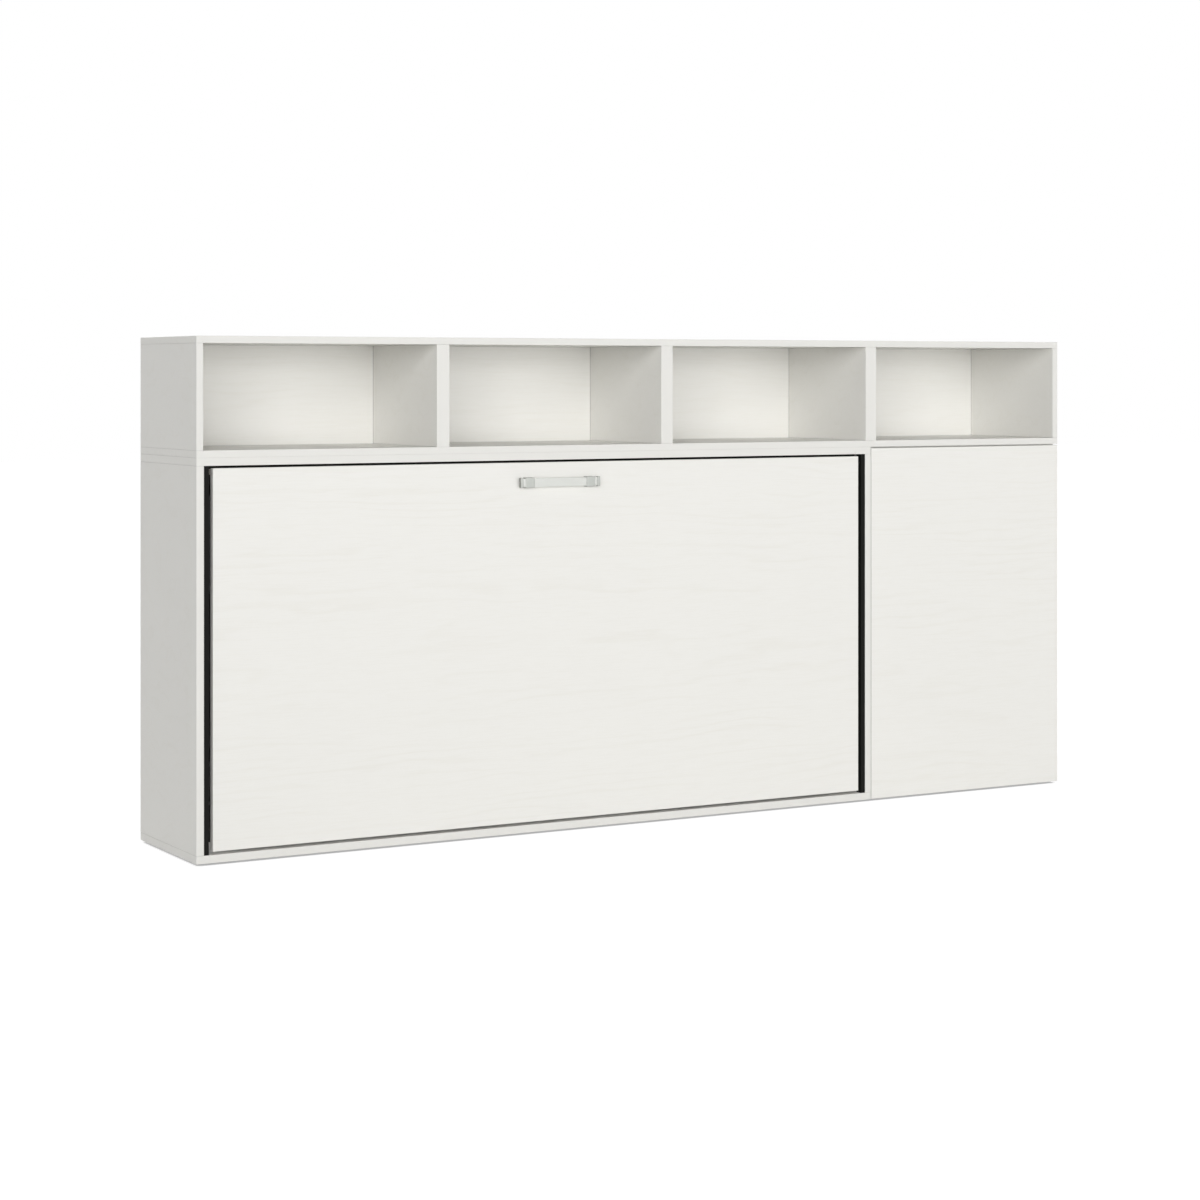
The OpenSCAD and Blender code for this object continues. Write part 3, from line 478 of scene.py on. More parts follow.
# Frosted acrylic: milky, lets a little light in, soft highlight
def frostedAcrylic():
    mat, tree, bsdf = newMaterial("frosted acrylic", {
        "IOR": 1.49, "Subsurface Weight": 0.4, "Subsurface Radius": (acrylic["depth"] * mm,) * 3,
        "Transmission Weight": 0.1})
    spot = objectPoint(tree, (1 / (acrylic["grain"] * mm),) * 3)
    speck = addNode(tree, "ShaderNodeTexNoise", {"Scale": 1.0, "Detail": 3.0}, {"Vector": spot})
    cloud = addNode(tree, "ShaderNodeTexNoise", {"Scale": 0.02, "Detail": 2.0}, {"Vector": spot})
    light, dark = (toLinear(tint) for tint in acrylic["tints"])
    paint = addNode(tree, "ShaderNodeMix", {"data_type": "RGBA", 6: light, 7: dark},
                    {0: cloud.outputs["Fac"]})
    low, high = acrylic["gloss"]
    gloss = addNode(tree, "ShaderNodeMapRange", {"To Min": low, "To Max": high},
                    {"Value": speck.outputs["Fac"]})
    dent = addNode(tree, "ShaderNodeBump", {"Strength": 0.12, "Distance": 0.2 * mm},
                   {"Height": speck.outputs["Fac"]})
    dressShader(tree, bsdf, paint.outputs[2], gloss.outputs[0], dent.outputs[0])
    return mat


acrylicFinish = frostedAcrylic()


ply = {
    "layers": 5,
    "grain": (2.2, 1.1, 55),   # mm across, through and along; real grain is about half as wide
    "tints": ("e3c69b", "c9a26e"),
    "glue": "7d5a33",
    "gloss": (0.32, 0.46),
}
slatLow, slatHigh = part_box("bed_slats")


# Lacquered birch ply: pale yellow-brown with long fine grain, and darker glue lines between the
# plies on its edges, which lie in planes across the slat's thickness
def birchPly():
    layer = (slatHigh.y - slatLow.y) / ply["layers"]
    mat, tree, bsdf = newMaterial("lacquered birch ply", {"IOR": 1.5})
    place = objectPoint(tree, [1 / (v * mm) for v in ply["grain"]])
    grain = addNode(tree, "ShaderNodeTexNoise", {"Scale": 1.0, "Detail": 4.0, "Roughness": 0.6},
                    {"Vector": place})
    layers = objectPoint(tree, (1, 1 / layer, 1), (0, -slatLow.y / layer, 0))
    depth = addNode(tree, "ShaderNodeSeparateXYZ", links={0: layers})
    part = addNode(tree, "ShaderNodeMath", {"operation": "PINGPONG", 1: 0.5}, {0: depth.outputs["Y"]})
    glue = addNode(tree, "ShaderNodeMapRange", {"From Max": 0.14, "To Min": 1.0, "To Max": 0.0},
                   {"Value": part.outputs[0]})
    turned = addNode(tree, "ShaderNodeVectorMath", {"operation": "DOT_PRODUCT", 1: (0, 1, 0)},
                     {0: addNode(tree, "ShaderNodeTexCoord").outputs["Normal"]})
    flat = addNode(tree, "ShaderNodeMath", {"operation": "ABSOLUTE"}, {0: turned.outputs["Value"]})
    edge = addNode(tree, "ShaderNodeMapRange",
                   {"From Min": 0.2, "From Max": 0.6, "To Min": 0.8, "To Max": 0.0},
                   {"Value": flat.outputs[0]})
    line = addNode(tree, "ShaderNodeMath", {"operation": "MULTIPLY"},
                   {0: glue.outputs[0], 1: edge.outputs[0]})
    light, dark = (toLinear(tint) for tint in ply["tints"])
    wood = addNode(tree, "ShaderNodeMix", {"data_type": "RGBA", 6: light, 7: dark},
                   {0: grain.outputs["Fac"]})
    paint = addNode(tree, "ShaderNodeMix", {"data_type": "RGBA", 7: toLinear(ply["glue"])},
                    {0: line.outputs[0], 6: wood.outputs[2]})
    low, high = ply["gloss"]
    gloss = addNode(tree, "ShaderNodeMapRange", {"To Min": low, "To Max": high},
                    {"Value": grain.outputs["Fac"]})
    dent = addNode(tree, "ShaderNodeBump", {"Strength": 0.12, "Distance": 0.3 * mm},
                   {"Height": grain.outputs["Fac"]})
    dressShader(tree, bsdf, paint.outputs[2], gloss.outputs[0], dent.outputs[0])
    return mat


plyFinish = birchPly()


# Woven or knitted cloth: two sets of threads that cross, with the given pitch in mm. turn and
# bands choose two directions that both lie in the cloth. Quilted cloth also gets its stitch lines.
def wovenCloth(name, warp, weft, pitch, roughness, bump, turn=(0, 0, 0), bands="XZ", quilt=None):
    mat, tree, bsdf = newMaterial(name, {"Sheen Weight": 0.2, "Sheen Roughness": 0.5})
    place = objectPoint(tree, (1 / (pitch * mm),) * 3, turn=turn)
    threads = []
    for axis in bands:
        wave = addNode(tree, "ShaderNodeTexWave", {"bands_direction": axis, "Scale": math.pi / 10,
                                                   "Distortion": 0.6, "Detail": 1.0}, {"Vector": place})
        threads.append(wave.outputs["Fac"])
    cross = addNode(tree, "ShaderNodeMath", {"operation": "MULTIPLY"}, {0: threads[0], 1: threads[1]})
    cloud = addNode(tree, "ShaderNodeTexNoise", {"Scale": 0.03, "Detail": 2.0}, {"Vector": place})
    tone = addNode(tree, "ShaderNodeMix", {"data_type": "FLOAT", 0: 0.35},
                   {2: cross.outputs[0], 3: cloud.outputs["Fac"]})
    paint = addNode(tree, "ShaderNodeMix", {"data_type": "RGBA", 6: toLinear(weft), 7: toLinear(warp)},
                    {0: tone.outputs[0]})
    surface = paint.outputs[2]
    height = cross.outputs[0]
    if quilt:
        sewn = quiltLines(tree, quilt)
        surface = addNode(tree, "ShaderNodeMix", {"data_type": "RGBA", 7: toLinear(quilt["thread"])},
                          {0: sewn, 6: surface}).outputs[2]
        height = addNode(tree, "ShaderNodeMath", {"operation": "MULTIPLY_ADD", 1: 3.0},
                         {0: sewn, 2: height}).outputs[0]
    gloss = addNode(tree, "ShaderNodeMapRange", {"To Min": roughness + 0.06, "To Max": roughness - 0.06},
                    {"Value": cross.outputs[0]})
    dent = addNode(tree, "ShaderNodeBump", {"Strength": bump, "Distance": 0.3 * mm}, {"Height": height})
    dressShader(tree, bsdf, surface, gloss.outputs[0], dent.outputs[0])
    return mat


# 1 on the thread of each stitch; threads are drawn 1 mm wide, about twice their size
def quiltLines(tree, quilt):
    cell = quilt["cell"] * mm
    grid = objectPoint(tree, (1 / cell,) * 3, [-v / cell for v in quilt["start"]])
    place = addNode(tree, "ShaderNodeSeparateXYZ", links={0: grid})
    lines = []
    for sign in (1, -1):
        run = addNode(tree, "ShaderNodeMath", {"operation": "MULTIPLY_ADD", 1: sign},
                      {0: place.outputs["Z"], 2: place.outputs["X"]})
        off = addNode(tree, "ShaderNodeMath", {"operation": "PINGPONG", 1: quilt["every"] / 2},
                      {0: run.outputs[0]})
        thread = addNode(tree, "ShaderNodeMath", {"operation": "LESS_THAN", 1: 0.055}, {0: off.outputs[0]})
        way = addNode(tree, "ShaderNodeMath", {"operation": "PINGPONG", 1: 0.25}, {0: place.outputs["X"]})
        stitch = addNode(tree, "ShaderNodeMath", {"operation": "GREATER_THAN", 1: 0.05},
                         {0: way.outputs[0]})
        lines.append(addNode(tree, "ShaderNodeMath", {"operation": "MULTIPLY"},
                             {0: thread.outputs[0], 1: stitch.outputs[0]}).outputs[0])
    return addNode(tree, "ShaderNodeMath", {"operation": "MAXIMUM"},
                   {0: lines[0], 1: lines[1]}).outputs[0]


mattress = {
    "cell": 12.5,        # mm between mesh points
    "sideRoom": 6,       # mm inside its space at the start, room to swell
    "topRoom": 9,
    "underRoom": 3,
    "corner": 36,        # mm, corners seen from above
    "rim": 9,            # mm, how far the piping draws the panels' edges in
    "crown": 3,          # mm that the middle of the panel stands above its edge
    "diamond": 8,        # mesh cells between the stitch lines
    "bands": 3,          # puffed bands round the border
    "pressure": 8.0,
    "frames": 20,
    "cap": 7,            # mm that a point may move
    "pucker": 0.9,       # mm, gathers beside the stitching
    "gather": 21,        # mm between gathers
    "piping": 3.4,       # mm, its radius
}
mattressLow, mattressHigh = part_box("mattress")
room = Vector((mattress["sideRoom"], mattress["underRoom"], mattress["sideRoom"])) * mm
startLow = mattressLow + room
startHigh = mattressHigh - Vector((room.x, mattress["topRoom"] * mm, room.z))

# Knitted ticking is soft and matt with a fine mesh; threads are drawn at twice their size
quilt = {"cell": mattress["cell"], "start": startLow, "every": mattress["diamond"], "thread": "b9b6ac"}
knitFinish = wovenCloth("knitted ticking, white", "f1efe9", "dfdcd3", 2.0, 0.85, 0.4, quilt=quilt)
# The border is a coarser grey knit, and the piping a smooth tape: darker lines round the white
upright = (0, math.radians(45), 0)
borderFinish = wovenCloth("knitted border, grey", "c4c5c4", "a9acac", 2.6, 0.85, 0.6, upright, "XY")
pipingFinish = wovenCloth("piping tape, grey", "9ea1a2", "8b8e90", 1.2, 0.8, 0.4, upright, "XY")
# Webbing: coarse warp ribs, a slight shine along the threads. Its stitches are pale dots on it
ribbed = (math.radians(45), 0, 0)
webbingFinish = wovenCloth("woven webbing, charcoal", "44454a", "26272b", 2.2, 0.72, 0.8, ribbed)
threadFinish = wovenCloth("sewing thread, grey", "8d8f92", "7a7c80", 0.8, 0.6, 0.2, ribbed)
print("finishes mixed")

finishes = {
    bedFrontFinish: ["bed_front_panel"],
    deskFrontFinish: ["desk_front"],
    boardFinish: ["upper_top_board", "upper_bottom_board", "bed_top_board", "bed_bottom_board",
                  "rear_rails", "side_bottom_board", "side_top_board", "side_shelves"],
    sideFinish: ["upper_left_end", "upper_right_end", "upper_divider_left", "upper_divider_middle",
                 "upper_divider_right", "bed_side_left", "bed_side_right", "side_end_panel",
                 "side_inner_panel"],
    backFinish: ["upper_back_panels", "side_back_panel"],
    stripFinish: ["filler_strips"],
    rubberFinish: ["floor_glides", "desk_leg_glides"],
    satinFinish: ["handle_blocks", "handle_end_caps"],
    acrylicFinish: ["handle_bar"],
    blackSteelFinish: ["bed_frame_long_tubes", "bed_frame_end_tubes", "bed_frame_cross_bars",
                       "bed_leg_left", "bed_leg_right", "link_rod_left", "link_rod_right",
                       "strut_cylinder_left", "strut_cylinder_right"],
    greySteelFinish: ["desk_arm_left", "desk_arm_right", "desk_leg"],
    zincFinish: ["wall_brackets", "bed_pivot_pins", "bed_pivot_plates", "bed_frame_pins",
                 "link_pivot_studs", "strut_side_studs", "shelf_pins", "arm_bearing_plates",
                 "front_hinge_brackets", "desk_leg_brackets", "push_latch_plunger"],
    chromeFinish: ["strut_rod_left", "strut_rod_right"],
    plyFinish: ["bed_slats"],
    nylonFinish: ["slat_holders"],
    absFinish: ["push_latch_body"],
}
for mat, names in finishes.items():
    for name in names:
        giveMaterial(nodes[name], mat)
print("boards finished")

joints = frame["record"]["behaviour"]["joints"]
jointPlace = {j["name"]: Vector(j.get("pos_m", (0, 0, 0))) for j in joints}


# A closed lattice with rounded corners, its stitched points and the order of its seam points
def mattressLattice(low, high):
    size = high - low
    count = [round(size.x / (mattress["cell"] * mm)), mattress["bands"] * 4,
             round(size.z / (mattress["cell"] * mm))]
    corner = mattress["corner"] * mm
    half = Vector((size.x / 2, 0, size.z / 2))
    bm = bmesh.new()
    verts = {}
    stitched = []

    def pointAt(i, j, k):
        if (i, j, k) in verts:
            return verts[i, j, k]
        x = size.x * i / count[0] - half.x
        z = size.z * k / count[2] - half.z
        dx = abs(x) - half.x + corner
        dz = abs(z) - half.z + corner
        if dx > 0 and dz > 0:
            pull = max(dx, dz) / math.hypot(dx, dz)
            x = math.copysign(half.x - corner + dx * pull, x)
            z = math.copysign(half.z - corner + dz * pull, z)
        y = size.y * j / count[1]
        onPanel = j in (0, count[1])
        onBorder = i in (0, count[0]) or k in (0, count[2])
        if onPanel and onBorder:
            rim = 0.3 * mattress["rim"] * mm
            y += rim if j == 0 else -rim
            x *= 1 - rim / half.x
            z *= 1 - rim / half.z
        elif j == count[1]:
            y += mattress["crown"] * mm * (1 - (x / half.x) ** 4) * (1 - (z / half.z) ** 4)
        vert = bm.verts.new((low.x + half.x + x, low.y + y, low.z + half.z + z))
        step = mattress["diamond"]
        inside = 1 < i < count[0] - 1 and 1 < k < count[2] - 1
        sewn = onPanel and inside and ((i + k) % step == 0 or (i - k) % step == 0)
        seam = onPanel and onBorder
        channel = not onPanel and j % (count[1] // mattress["bands"]) == 0
        if sewn or seam or channel:
            stitched.append(vert)
        verts[i, j, k] = vert
        return vert

    nx, ny, nz = count
    for j in (0, ny):
        for i in range(nx):
            for k in range(nz):
                bm.faces.new([pointAt(i, j, k), pointAt(i + 1, j, k), pointAt(i + 1, j, k + 1),
                              pointAt(i, j, k + 1)])
    for j in range(ny):
        for k in (0, nz):
            for i in range(nx):
                face = bm.faces.new([pointAt(i, j, k), pointAt(i + 1, j, k), pointAt(i + 1, j + 1, k),
                                     pointAt(i, j + 1, k)])
                face.material_index = 1
        for i in (0, nx):
            for k in range(nz):
                face = bm.faces.new([pointAt(i, j, k), pointAt(i, j, k + 1), pointAt(i, j + 1, k + 1),
                                     pointAt(i, j + 1, k)])
                face.material_index = 1
    loop = [(i, 0) for i in range(nx)] + [(nx, k) for k in range(nz)]
    loop += [(nx - i, nz) for i in range(nx)] + [(0, nz - k) for k in range(nz)]
    bm.verts.index_update()
    seams = [[pointAt(i, j, k).index for i, k in loop] for j in (0, ny)]
    return bm, [v.index for v in stitched], seams


# Swells the cover between its stitches, and keeps each point within the cap
def swell(obj, stitched):
    rest = [v.co.copy() for v in obj.data.vertices]
    group = obj.vertex_groups.new(name="stitches")
    group.add(stitched, 1.0, "REPLACE")
    cloth = addModifier(obj, "CLOTH")
    cloth.settings.use_pressure = True
    cloth.settings.uniform_pressure_force = mattress["pressure"]
    cloth.settings.effector_weights.gravity = 0
    cloth.settings.vertex_group_mass = group.name
    cloth.collision_settings.use_collision = False
    cloth.point_cache.frame_end = mattress["frames"]
    for step in range(1, mattress["frames"] + 1):
        scene.frame_set(step)
    graph = bpy.context.evaluated_depsgraph_get()
    moved = [v.co.copy() for v in obj.evaluated_get(graph).data.vertices]
    obj.modifiers.remove(cloth)
    scene.frame_set(1)
    cap = mattress["cap"] * mm
    for vert, start, end in zip(obj.data.vertices, rest, moved):
        shift = end - start
        vert.co = start + shift * min(1, cap / max(shift.length, 1e-9))


bm, stitched, seams = mattressLattice(startLow, startHigh)
cover = newPiece("mattressCover", bm, (knitFinish, borderFinish), "bed", sharp=180)
swell(cover, stitched)
seamPaths = [[cover.data.vertices[i].co.copy() for i in loop] for loop in seams]
addModifier(cover, "SUBSURF", levels=1, render_levels=1)
graph = bpy.context.evaluated_depsgraph_get()
smoothCover = bpy.data.meshes.new_from_object(cover.evaluated_get(graph))
cover.modifiers.clear()
cover.data = smoothCover

# Gathers in the ticking beside its stitches. The normals are copied first, because Blender works
# them out again after each change.
cell = mattress["cell"] * mm
step = mattress["diamond"]
normals = [v.normal.copy() for v in smoothCover.vertices]
for vert, normal in zip(smoothCover.vertices, normals):
    column = (vert.co.x - startLow.x) / cell
    row = (vert.co.z - startLow.z) / cell
    near = min(abs((v + step / 2) % step - step / 2) for v in (column + row, column - row))
    onPanel = abs(normal.y) > 0.7
    if onPanel:
        fold = noise.noise(vert.co / (mattress["gather"] * mm)) * math.exp(-near * 0.9)
        vert.co -= normal * mattress["pucker"] * mm * (abs(fold) + fold)
    for axis in range(3):
        low, high = mattressLow[axis] + 0.3 * mm, mattressHigh[axis] - 0.3 * mm
        vert.co[axis] = min(max(vert.co[axis], low), high)
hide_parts("mattress")
print("mattress sewn")

bm = bmesh.new()
for path in seamPaths:
    addSweep(bm, path, lambda i: roundOutline(mattress["piping"] * mm), (0, 1, 0), closed=True)
newPiece("mattressPiping", bm, (pipingFinish,), "bed", sharp=180)

grips = {
    "width": 26,         # mm
    "thick": 1.8,
    "length": 190,
    "bow": 3.2,          # how far a grip stands off the border
    "rise": 1.2,         # mm from the border to where a grip starts
    "from": 640,         # mm from the middle of the mattress
    "tab": 30,           # mm, length of the sewn patch on each end
    "tabThick": 0.7,     # mm more than the grip
    "tabOver": 1,        # mm wider than the grip on each side
    "root": 4,           # mm that a patch reaches into the border
    "vent": 8.5,         # radius of a vent's eyelet
    "ventAt": (-0.41, -0.37, 0.37, 0.41),
}
stitch = {
    "gap": 4.2,          # mm from one stitch to the next
    "part": 0.64,        # share of it that the thread shows
    "half": 0.45,        # mm, half its width
    "high": 0.5,
}


# A row of stitches: short raised threads along a line
def addStitches(bm, start, end, lift, paint=1):
    run = Vector(end) - Vector(start)
    count = max(2, round(run.length / (stitch["gap"] * mm)))
    for i in range(count):
        one = Vector(start) + run * (i + 0.5 - stitch["part"] / 2) / count
        two = Vector(start) + run * (i + 0.5 + stitch["part"] / 2) / count
        side = run.normalized().cross(Vector(lift)).normalized() * stitch["half"] * mm
        top = Vector(lift).normalized() * stitch["high"] * mm
        ring = [bm.verts.new(p) for p in (one - side, one + side, two + side, two - side)]
        ridge = [bm.verts.new(p) for p in (one.lerp(two, 0.25) + top, one.lerp(two, 0.75) + top)]
        for face in ((ring[0], ring[1], ridge[0]), (ring[2], ring[3], ridge[1]),
                     (ring[1], ring[2], ridge[1], ridge[0]), (ring[3], ring[0], ridge[0], ridge[1]),
                     (ring[3], ring[2], ring[1], ring[0])):
            bm.faces.new(face).material_index = paint


# How far out the border reaches beside a place, half way up
def borderAt(x, side, reach):
    near = [v.co.z for v in smoothCover.vertices
            if abs(v.co.x - x) < reach and abs(v.co.y - middle.y) < grips["width"] / 2 * mm]
    return max(near) if side > 0 else min(near)


middle = (mattressLow + mattressHigh) / 2
bm = bmesh.new()
ventBm = bmesh.new()
for side in (-1, 1):
    for at in (-1, 1):
        gripX = middle.x + at * grips["from"] * mm
        border = borderAt(gripX, side, grips["length"] / 2 * mm) + side * grips["rise"] * mm
        path = []
        for i in range(25):
            t = i / 24
            off = grips["bow"] * math.sin(math.pi * t) ** 0.6 if 0 < t < 1 else 0
            lift = (grips["thick"] / 2 + off) * mm
            path.append((gripX + (t - 0.5) * grips["length"] * mm, middle.y, border + side * lift))
        outline = bandOutline(grips["width"] * mm, grips["thick"] * mm)
        addSweep(bm, path, lambda i: outline, (0, 0, 1))
        for end in (-1, 1):
            tabX = gripX + end * (grips["length"] - grips["tab"]) / 2 * mm
            reach = grips["tab"] / 2 * mm
            face = border + side * (grips["thick"] + grips["tabThick"]) * mm
            root = border - side * grips["root"] * mm
            tall = (grips["width"] / 2 + grips["tabOver"]) * mm
            addBox(bm, (tabX - reach, middle.y - tall, min(root, face)),
                   (tabX + reach, middle.y + tall, max(root, face)), 0.7 * mm)
            corners = [(tabX + a * (reach - 3 * mm), middle.y + b * (tall - 3.5 * mm), face)
                       for a, b in ((-1, -1), (1, -1), (1, 1), (-1, 1))]
            for one, two in zip(corners, corners[1:] + corners[:1]):
                addStitches(bm, one, two, (0, 0, side))
            addStitches(bm, corners[0], corners[2], (0, 0, side))
    for at in grips["ventAt"]:
        ventX = middle.x + at * (mattressHigh.x - mattressLow.x)
        r = grips["vent"] * mm
        place = (ventX, middle.y, borderAt(ventX, side, r) - side * 1.2 * mm)
        addTurned(ventBm, place, (0, 0, side), [
            (0, 0, 0), (0, r, 0), (2.4 * mm, r, 0), (3.0 * mm, r * 0.93, 0), (3.0 * mm, r * 0.72, 0),
            (2.0 * mm, r * 0.66, 0), (2.0 * mm, 0, 0)], sides=28)
newPiece("mattressGrips", bm, (webbingFinish, threadFinish), "bed")
newPiece("mattressVents", ventBm, (satinFinish,), "bed")
print("mattress trimmed")

straps = {
    "wide": 40,          # mm
    "thick": 1.4,
    "ease": 11,          # radius where the strap turns over the mattress
    "foot": 6,           # radius where it leaves the frame
    "gap": 0.5,          # mm between the strap and the mattress
    "fold": 62,          # mm of the band folded back beside the buckle
    "footFold": 22,      # mm of it folded back on the frame
    "foldThick": 1.3,
    "foldSeams": (0.35, 0.92),
    "footSeams": (0.12, 0.88),
    "twin": 1.6,         # mm from the middle of a double seam to each of its rows
    "seam": 0.42,        # half length of a seam, as a share of the width
    "buckle": (24, 5.2, 34),  # half width, half height and half length
}
strapLow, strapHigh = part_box("mattress_straps")
strapWide = straps["wide"] * mm


# Quarter turn from one direction to another, as (y, z) places
def turnPoints(middleY, middleZ, radius, start, steps=6):
    return [(middleY + radius * math.cos(start + math.pi / 2 * i / steps),
             middleZ + radius * math.sin(start + math.pi / 2 * i / steps)) for i in range(steps + 1)]


# The strap's line from the lower frame tube over the mattress to the upper one
def strapLine():
    lift = straps["thick"] / 2 * mm
    footY = strapLow.y + lift
    topY = mattressHigh.y + straps["gap"] * mm + lift
    lowZ = mattressLow.z - straps["gap"] * mm - lift
    ease = straps["ease"] * mm
    foot = straps["foot"] * mm
    half = [(footY, strapLow.z)]
    half += reversed(turnPoints(footY + foot, lowZ - foot, foot, math.pi / 2))
    half += turnPoints(topY - ease, lowZ + ease, ease, -math.pi / 2)
    return half + [(y, strapLow.z + strapHigh.z - z) for y, z in reversed(half)]


# The band folded back on itself from one place to another, and sewn down along the seams
def addFold(bm, x, y, start, end, seams):
    half = strapWide / 2
    reach = strapWide * straps["seam"]
    top = y + straps["foldThick"] * mm
    addBox(bm, (x - half, y, min(start, end)), (x + half, top, max(start, end)), 0.5 * mm)
    for z in seams:
        addStitches(bm, (x - reach, top, z), (x + reach, top, z), (0, 1, 0))


def addBuckle(bm, x, y, z):
    wide, tall, long = (v * mm for v in straps["buckle"])

    # Housing with a window in each side, seen from above as (across, along)
    housing = [(-wide, 0.02), (-wide, 0.2), (-wide * 0.78, 0.3), (-wide * 0.72, 0.5),
               (-wide * 0.80, 0.68), (-wide, 0.76), (-wide, 0.92), (-wide * 0.88, 1.0)]
    housing = [(a, b * long) for a, b in housing]
    housing += [(-a, b) for a, b in reversed(housing)]
    catch = [(-wide * 0.9, -1.0), (-wide, -0.92), (-wide, -0.14), (-wide * 0.86, -0.04)]
    catch = [(a, b * long) for a, b in catch]
    catch += [(-a, b) for a, b in reversed(catch)]
    for outline in (housing, catch):
        under = [bm.verts.new((x + a, y, z + b)) for a, b in outline]
        over = [bm.verts.new((x + a, y + 2 * tall, z + b)) for a, b in outline]
        bm.faces.new(under)
        lid = bm.faces.new(list(reversed(over)))
        for i in range(len(outline)):
            j = (i + 1) % len(outline)
            bm.faces.new((under[j], under[i], over[i], over[j]))
        bmesh.ops.bevel(bm, geom=list(lid.edges), offset=1.6 * mm, segments=3, affect="EDGES",
                        profile=0.6, clamp_overlap=True)

    # Rounded buttons in the windows and two bars across the top
    button = wide * 0.13
    for side in (-1, 1):
        addTurned(bm, (x + side * wide * 0.86, y + 1.6 * mm, z + 0.5 * long), (0, 1, 0), [
            (0, 0, 0), (0, button, 0), (2 * tall - 4 * mm, button, 0), (2 * tall - 3.2 * mm, 0, 0)],
            sides=12)
        addBox(bm, (x - wide * 0.62, y + 2 * tall - 1 * mm, z + side * long * 0.84 - 1.6 * mm),
               (x + wide * 0.62, y + 2 * tall + 0.8 * mm, z + side * long * 0.84 + 1.6 * mm), 0.8 * mm)


line = strapLine()
outline = [(b, a) for a, b in bandOutline(strapWide, straps["thick"] * mm)]
strapMiddle = (strapLow.z + strapHigh.z) / 2
topY = mattressHigh.y + straps["gap"] * mm
over = topY + straps["thick"] * mm
footY = strapLow.y + straps["thick"] * mm
for name, x in (("strapLeft", strapLow.x + strapWide / 2), ("strapRight", strapHigh.x - strapWide / 2)):
    bm = bmesh.new()
    addSweep(bm, [(x, y, z) for y, z in line], lambda i: outline, (1, 0, 0))
    for side, foot in ((-1, strapLow.z), (1, strapHigh.z)):
        near = strapMiddle + side * (straps["buckle"][2] - 4) * mm
        fold = side * straps["fold"] * mm
        seams = [near + fold * part + row * straps["twin"] * mm
                 for part in straps["foldSeams"] for row in (-1, 1)]
        addFold(bm, x, over, near, near + fold, seams)
        fold = -side * straps["footFold"] * mm
        addFold(bm, x, footY, foot, foot + fold, [foot + fold * part for part in straps["footSeams"]])
    strap = newPiece(name, bm, (webbingFinish, threadFinish), "bed")
    if name == "strapLeft":
        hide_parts("mattress_straps")
    bm = bmesh.new()
    addBuckle(bm, x, topY + 0.2 * mm, strapMiddle)
    newPiece(name + "Buckle", bm, (nylonFinish,), "bed")
print("straps buckled")

screw = {
    "head": 4.6,         # mm, radius of a pan head
    "high": 2.6,
    "key": 2.1,          # radius of its hexagon socket
    "washer": 7.5,
}


# Pan head with a hexagon socket; size multiplies its measures
def addScrew(bm, place, axis, size=1.0, washer=False):
    r = screw["head"] * mm * size
    h = screw["high"] * mm * size
    key = screw["key"] * mm * size
    lift = 0
    if washer:
        w = screw["washer"] * mm * size
        lift = 1.2 * mm
        addTurned(bm, place, axis, [(0, 0, 0), (0, w, 0), (lift - 0.2 * mm, w, 0), (lift, w - 0.2 * mm, 0),
                                    (lift, 0, 0)], sides=28)
    addTurned(bm, Vector(place) + Vector(axis).normalized() * lift, axis, [
        (0, 0, 0), (0, r, 0), (h * 0.35, r, 0), (h * 0.78, r * 0.86, 0), (h, r * 0.62, 0),
        (h, key, 6), (h * 0.45, key, 6), (h * 0.45, 0, 0)], sides=24)


def addScrews(name, places, axis, body, finish, size=1.0, washer=False):
    bm = bmesh.new()
    for place in places:
        addScrew(bm, place, axis(place) if callable(axis) else axis, size, washer)
    newPiece(name, bm, (finish,), body)


# The way from a place on a side to the middle between the sides
def inward(middleX):
    def axis(place):
        return (1, 0, 0) if place[0] < middleX else (-1, 0, 0)
    return axis


# Plates on the bed cabinet's sides: two screws, and a washer round the pivot pin
plates = {
    "thick": 3,          # mm, also of the other sheet fittings
    "inset": 10,         # mm from a plate's edges to its screws
    "washerBore": 8.3,   # mm, radius
    "washer": 13,
    "washerThick": 1.9,
}
plateLow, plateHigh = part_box("bed_pivot_plates")
plateThick = plates["thick"] * mm
inset = plates["inset"] * mm
plateFaces = (plateLow.x + plateThick, plateHigh.x - plateThick)
bedInward = inward((plateLow.x + plateHigh.x) / 2)
addScrews("pivotPlateScrews", [(x, y, plateHigh.z - inset) for x in plateFaces
                               for y in (plateLow.y + inset, plateHigh.y - inset)],
          bedInward, "cabinet", zincFinish)
bm = bmesh.new()
pivot = jointPlace["bed_fold"]
bore, rim, thick = (plates[k] * mm for k in ("washerBore", "washer", "washerThick"))
for x in plateFaces:
    addTurned(bm, (x, pivot.y, pivot.z), bedInward((x, 0, 0)), [
        (0, bore, 0), (0, rim, 0), (thick - 0.4 * mm, rim, 0), (thick, rim - 0.6 * mm, 0),
        (thick, bore, 0), (0, bore, 0)], sides=32)
newPiece("pivotWashers", bm, (nylonFinish,), "cabinet")

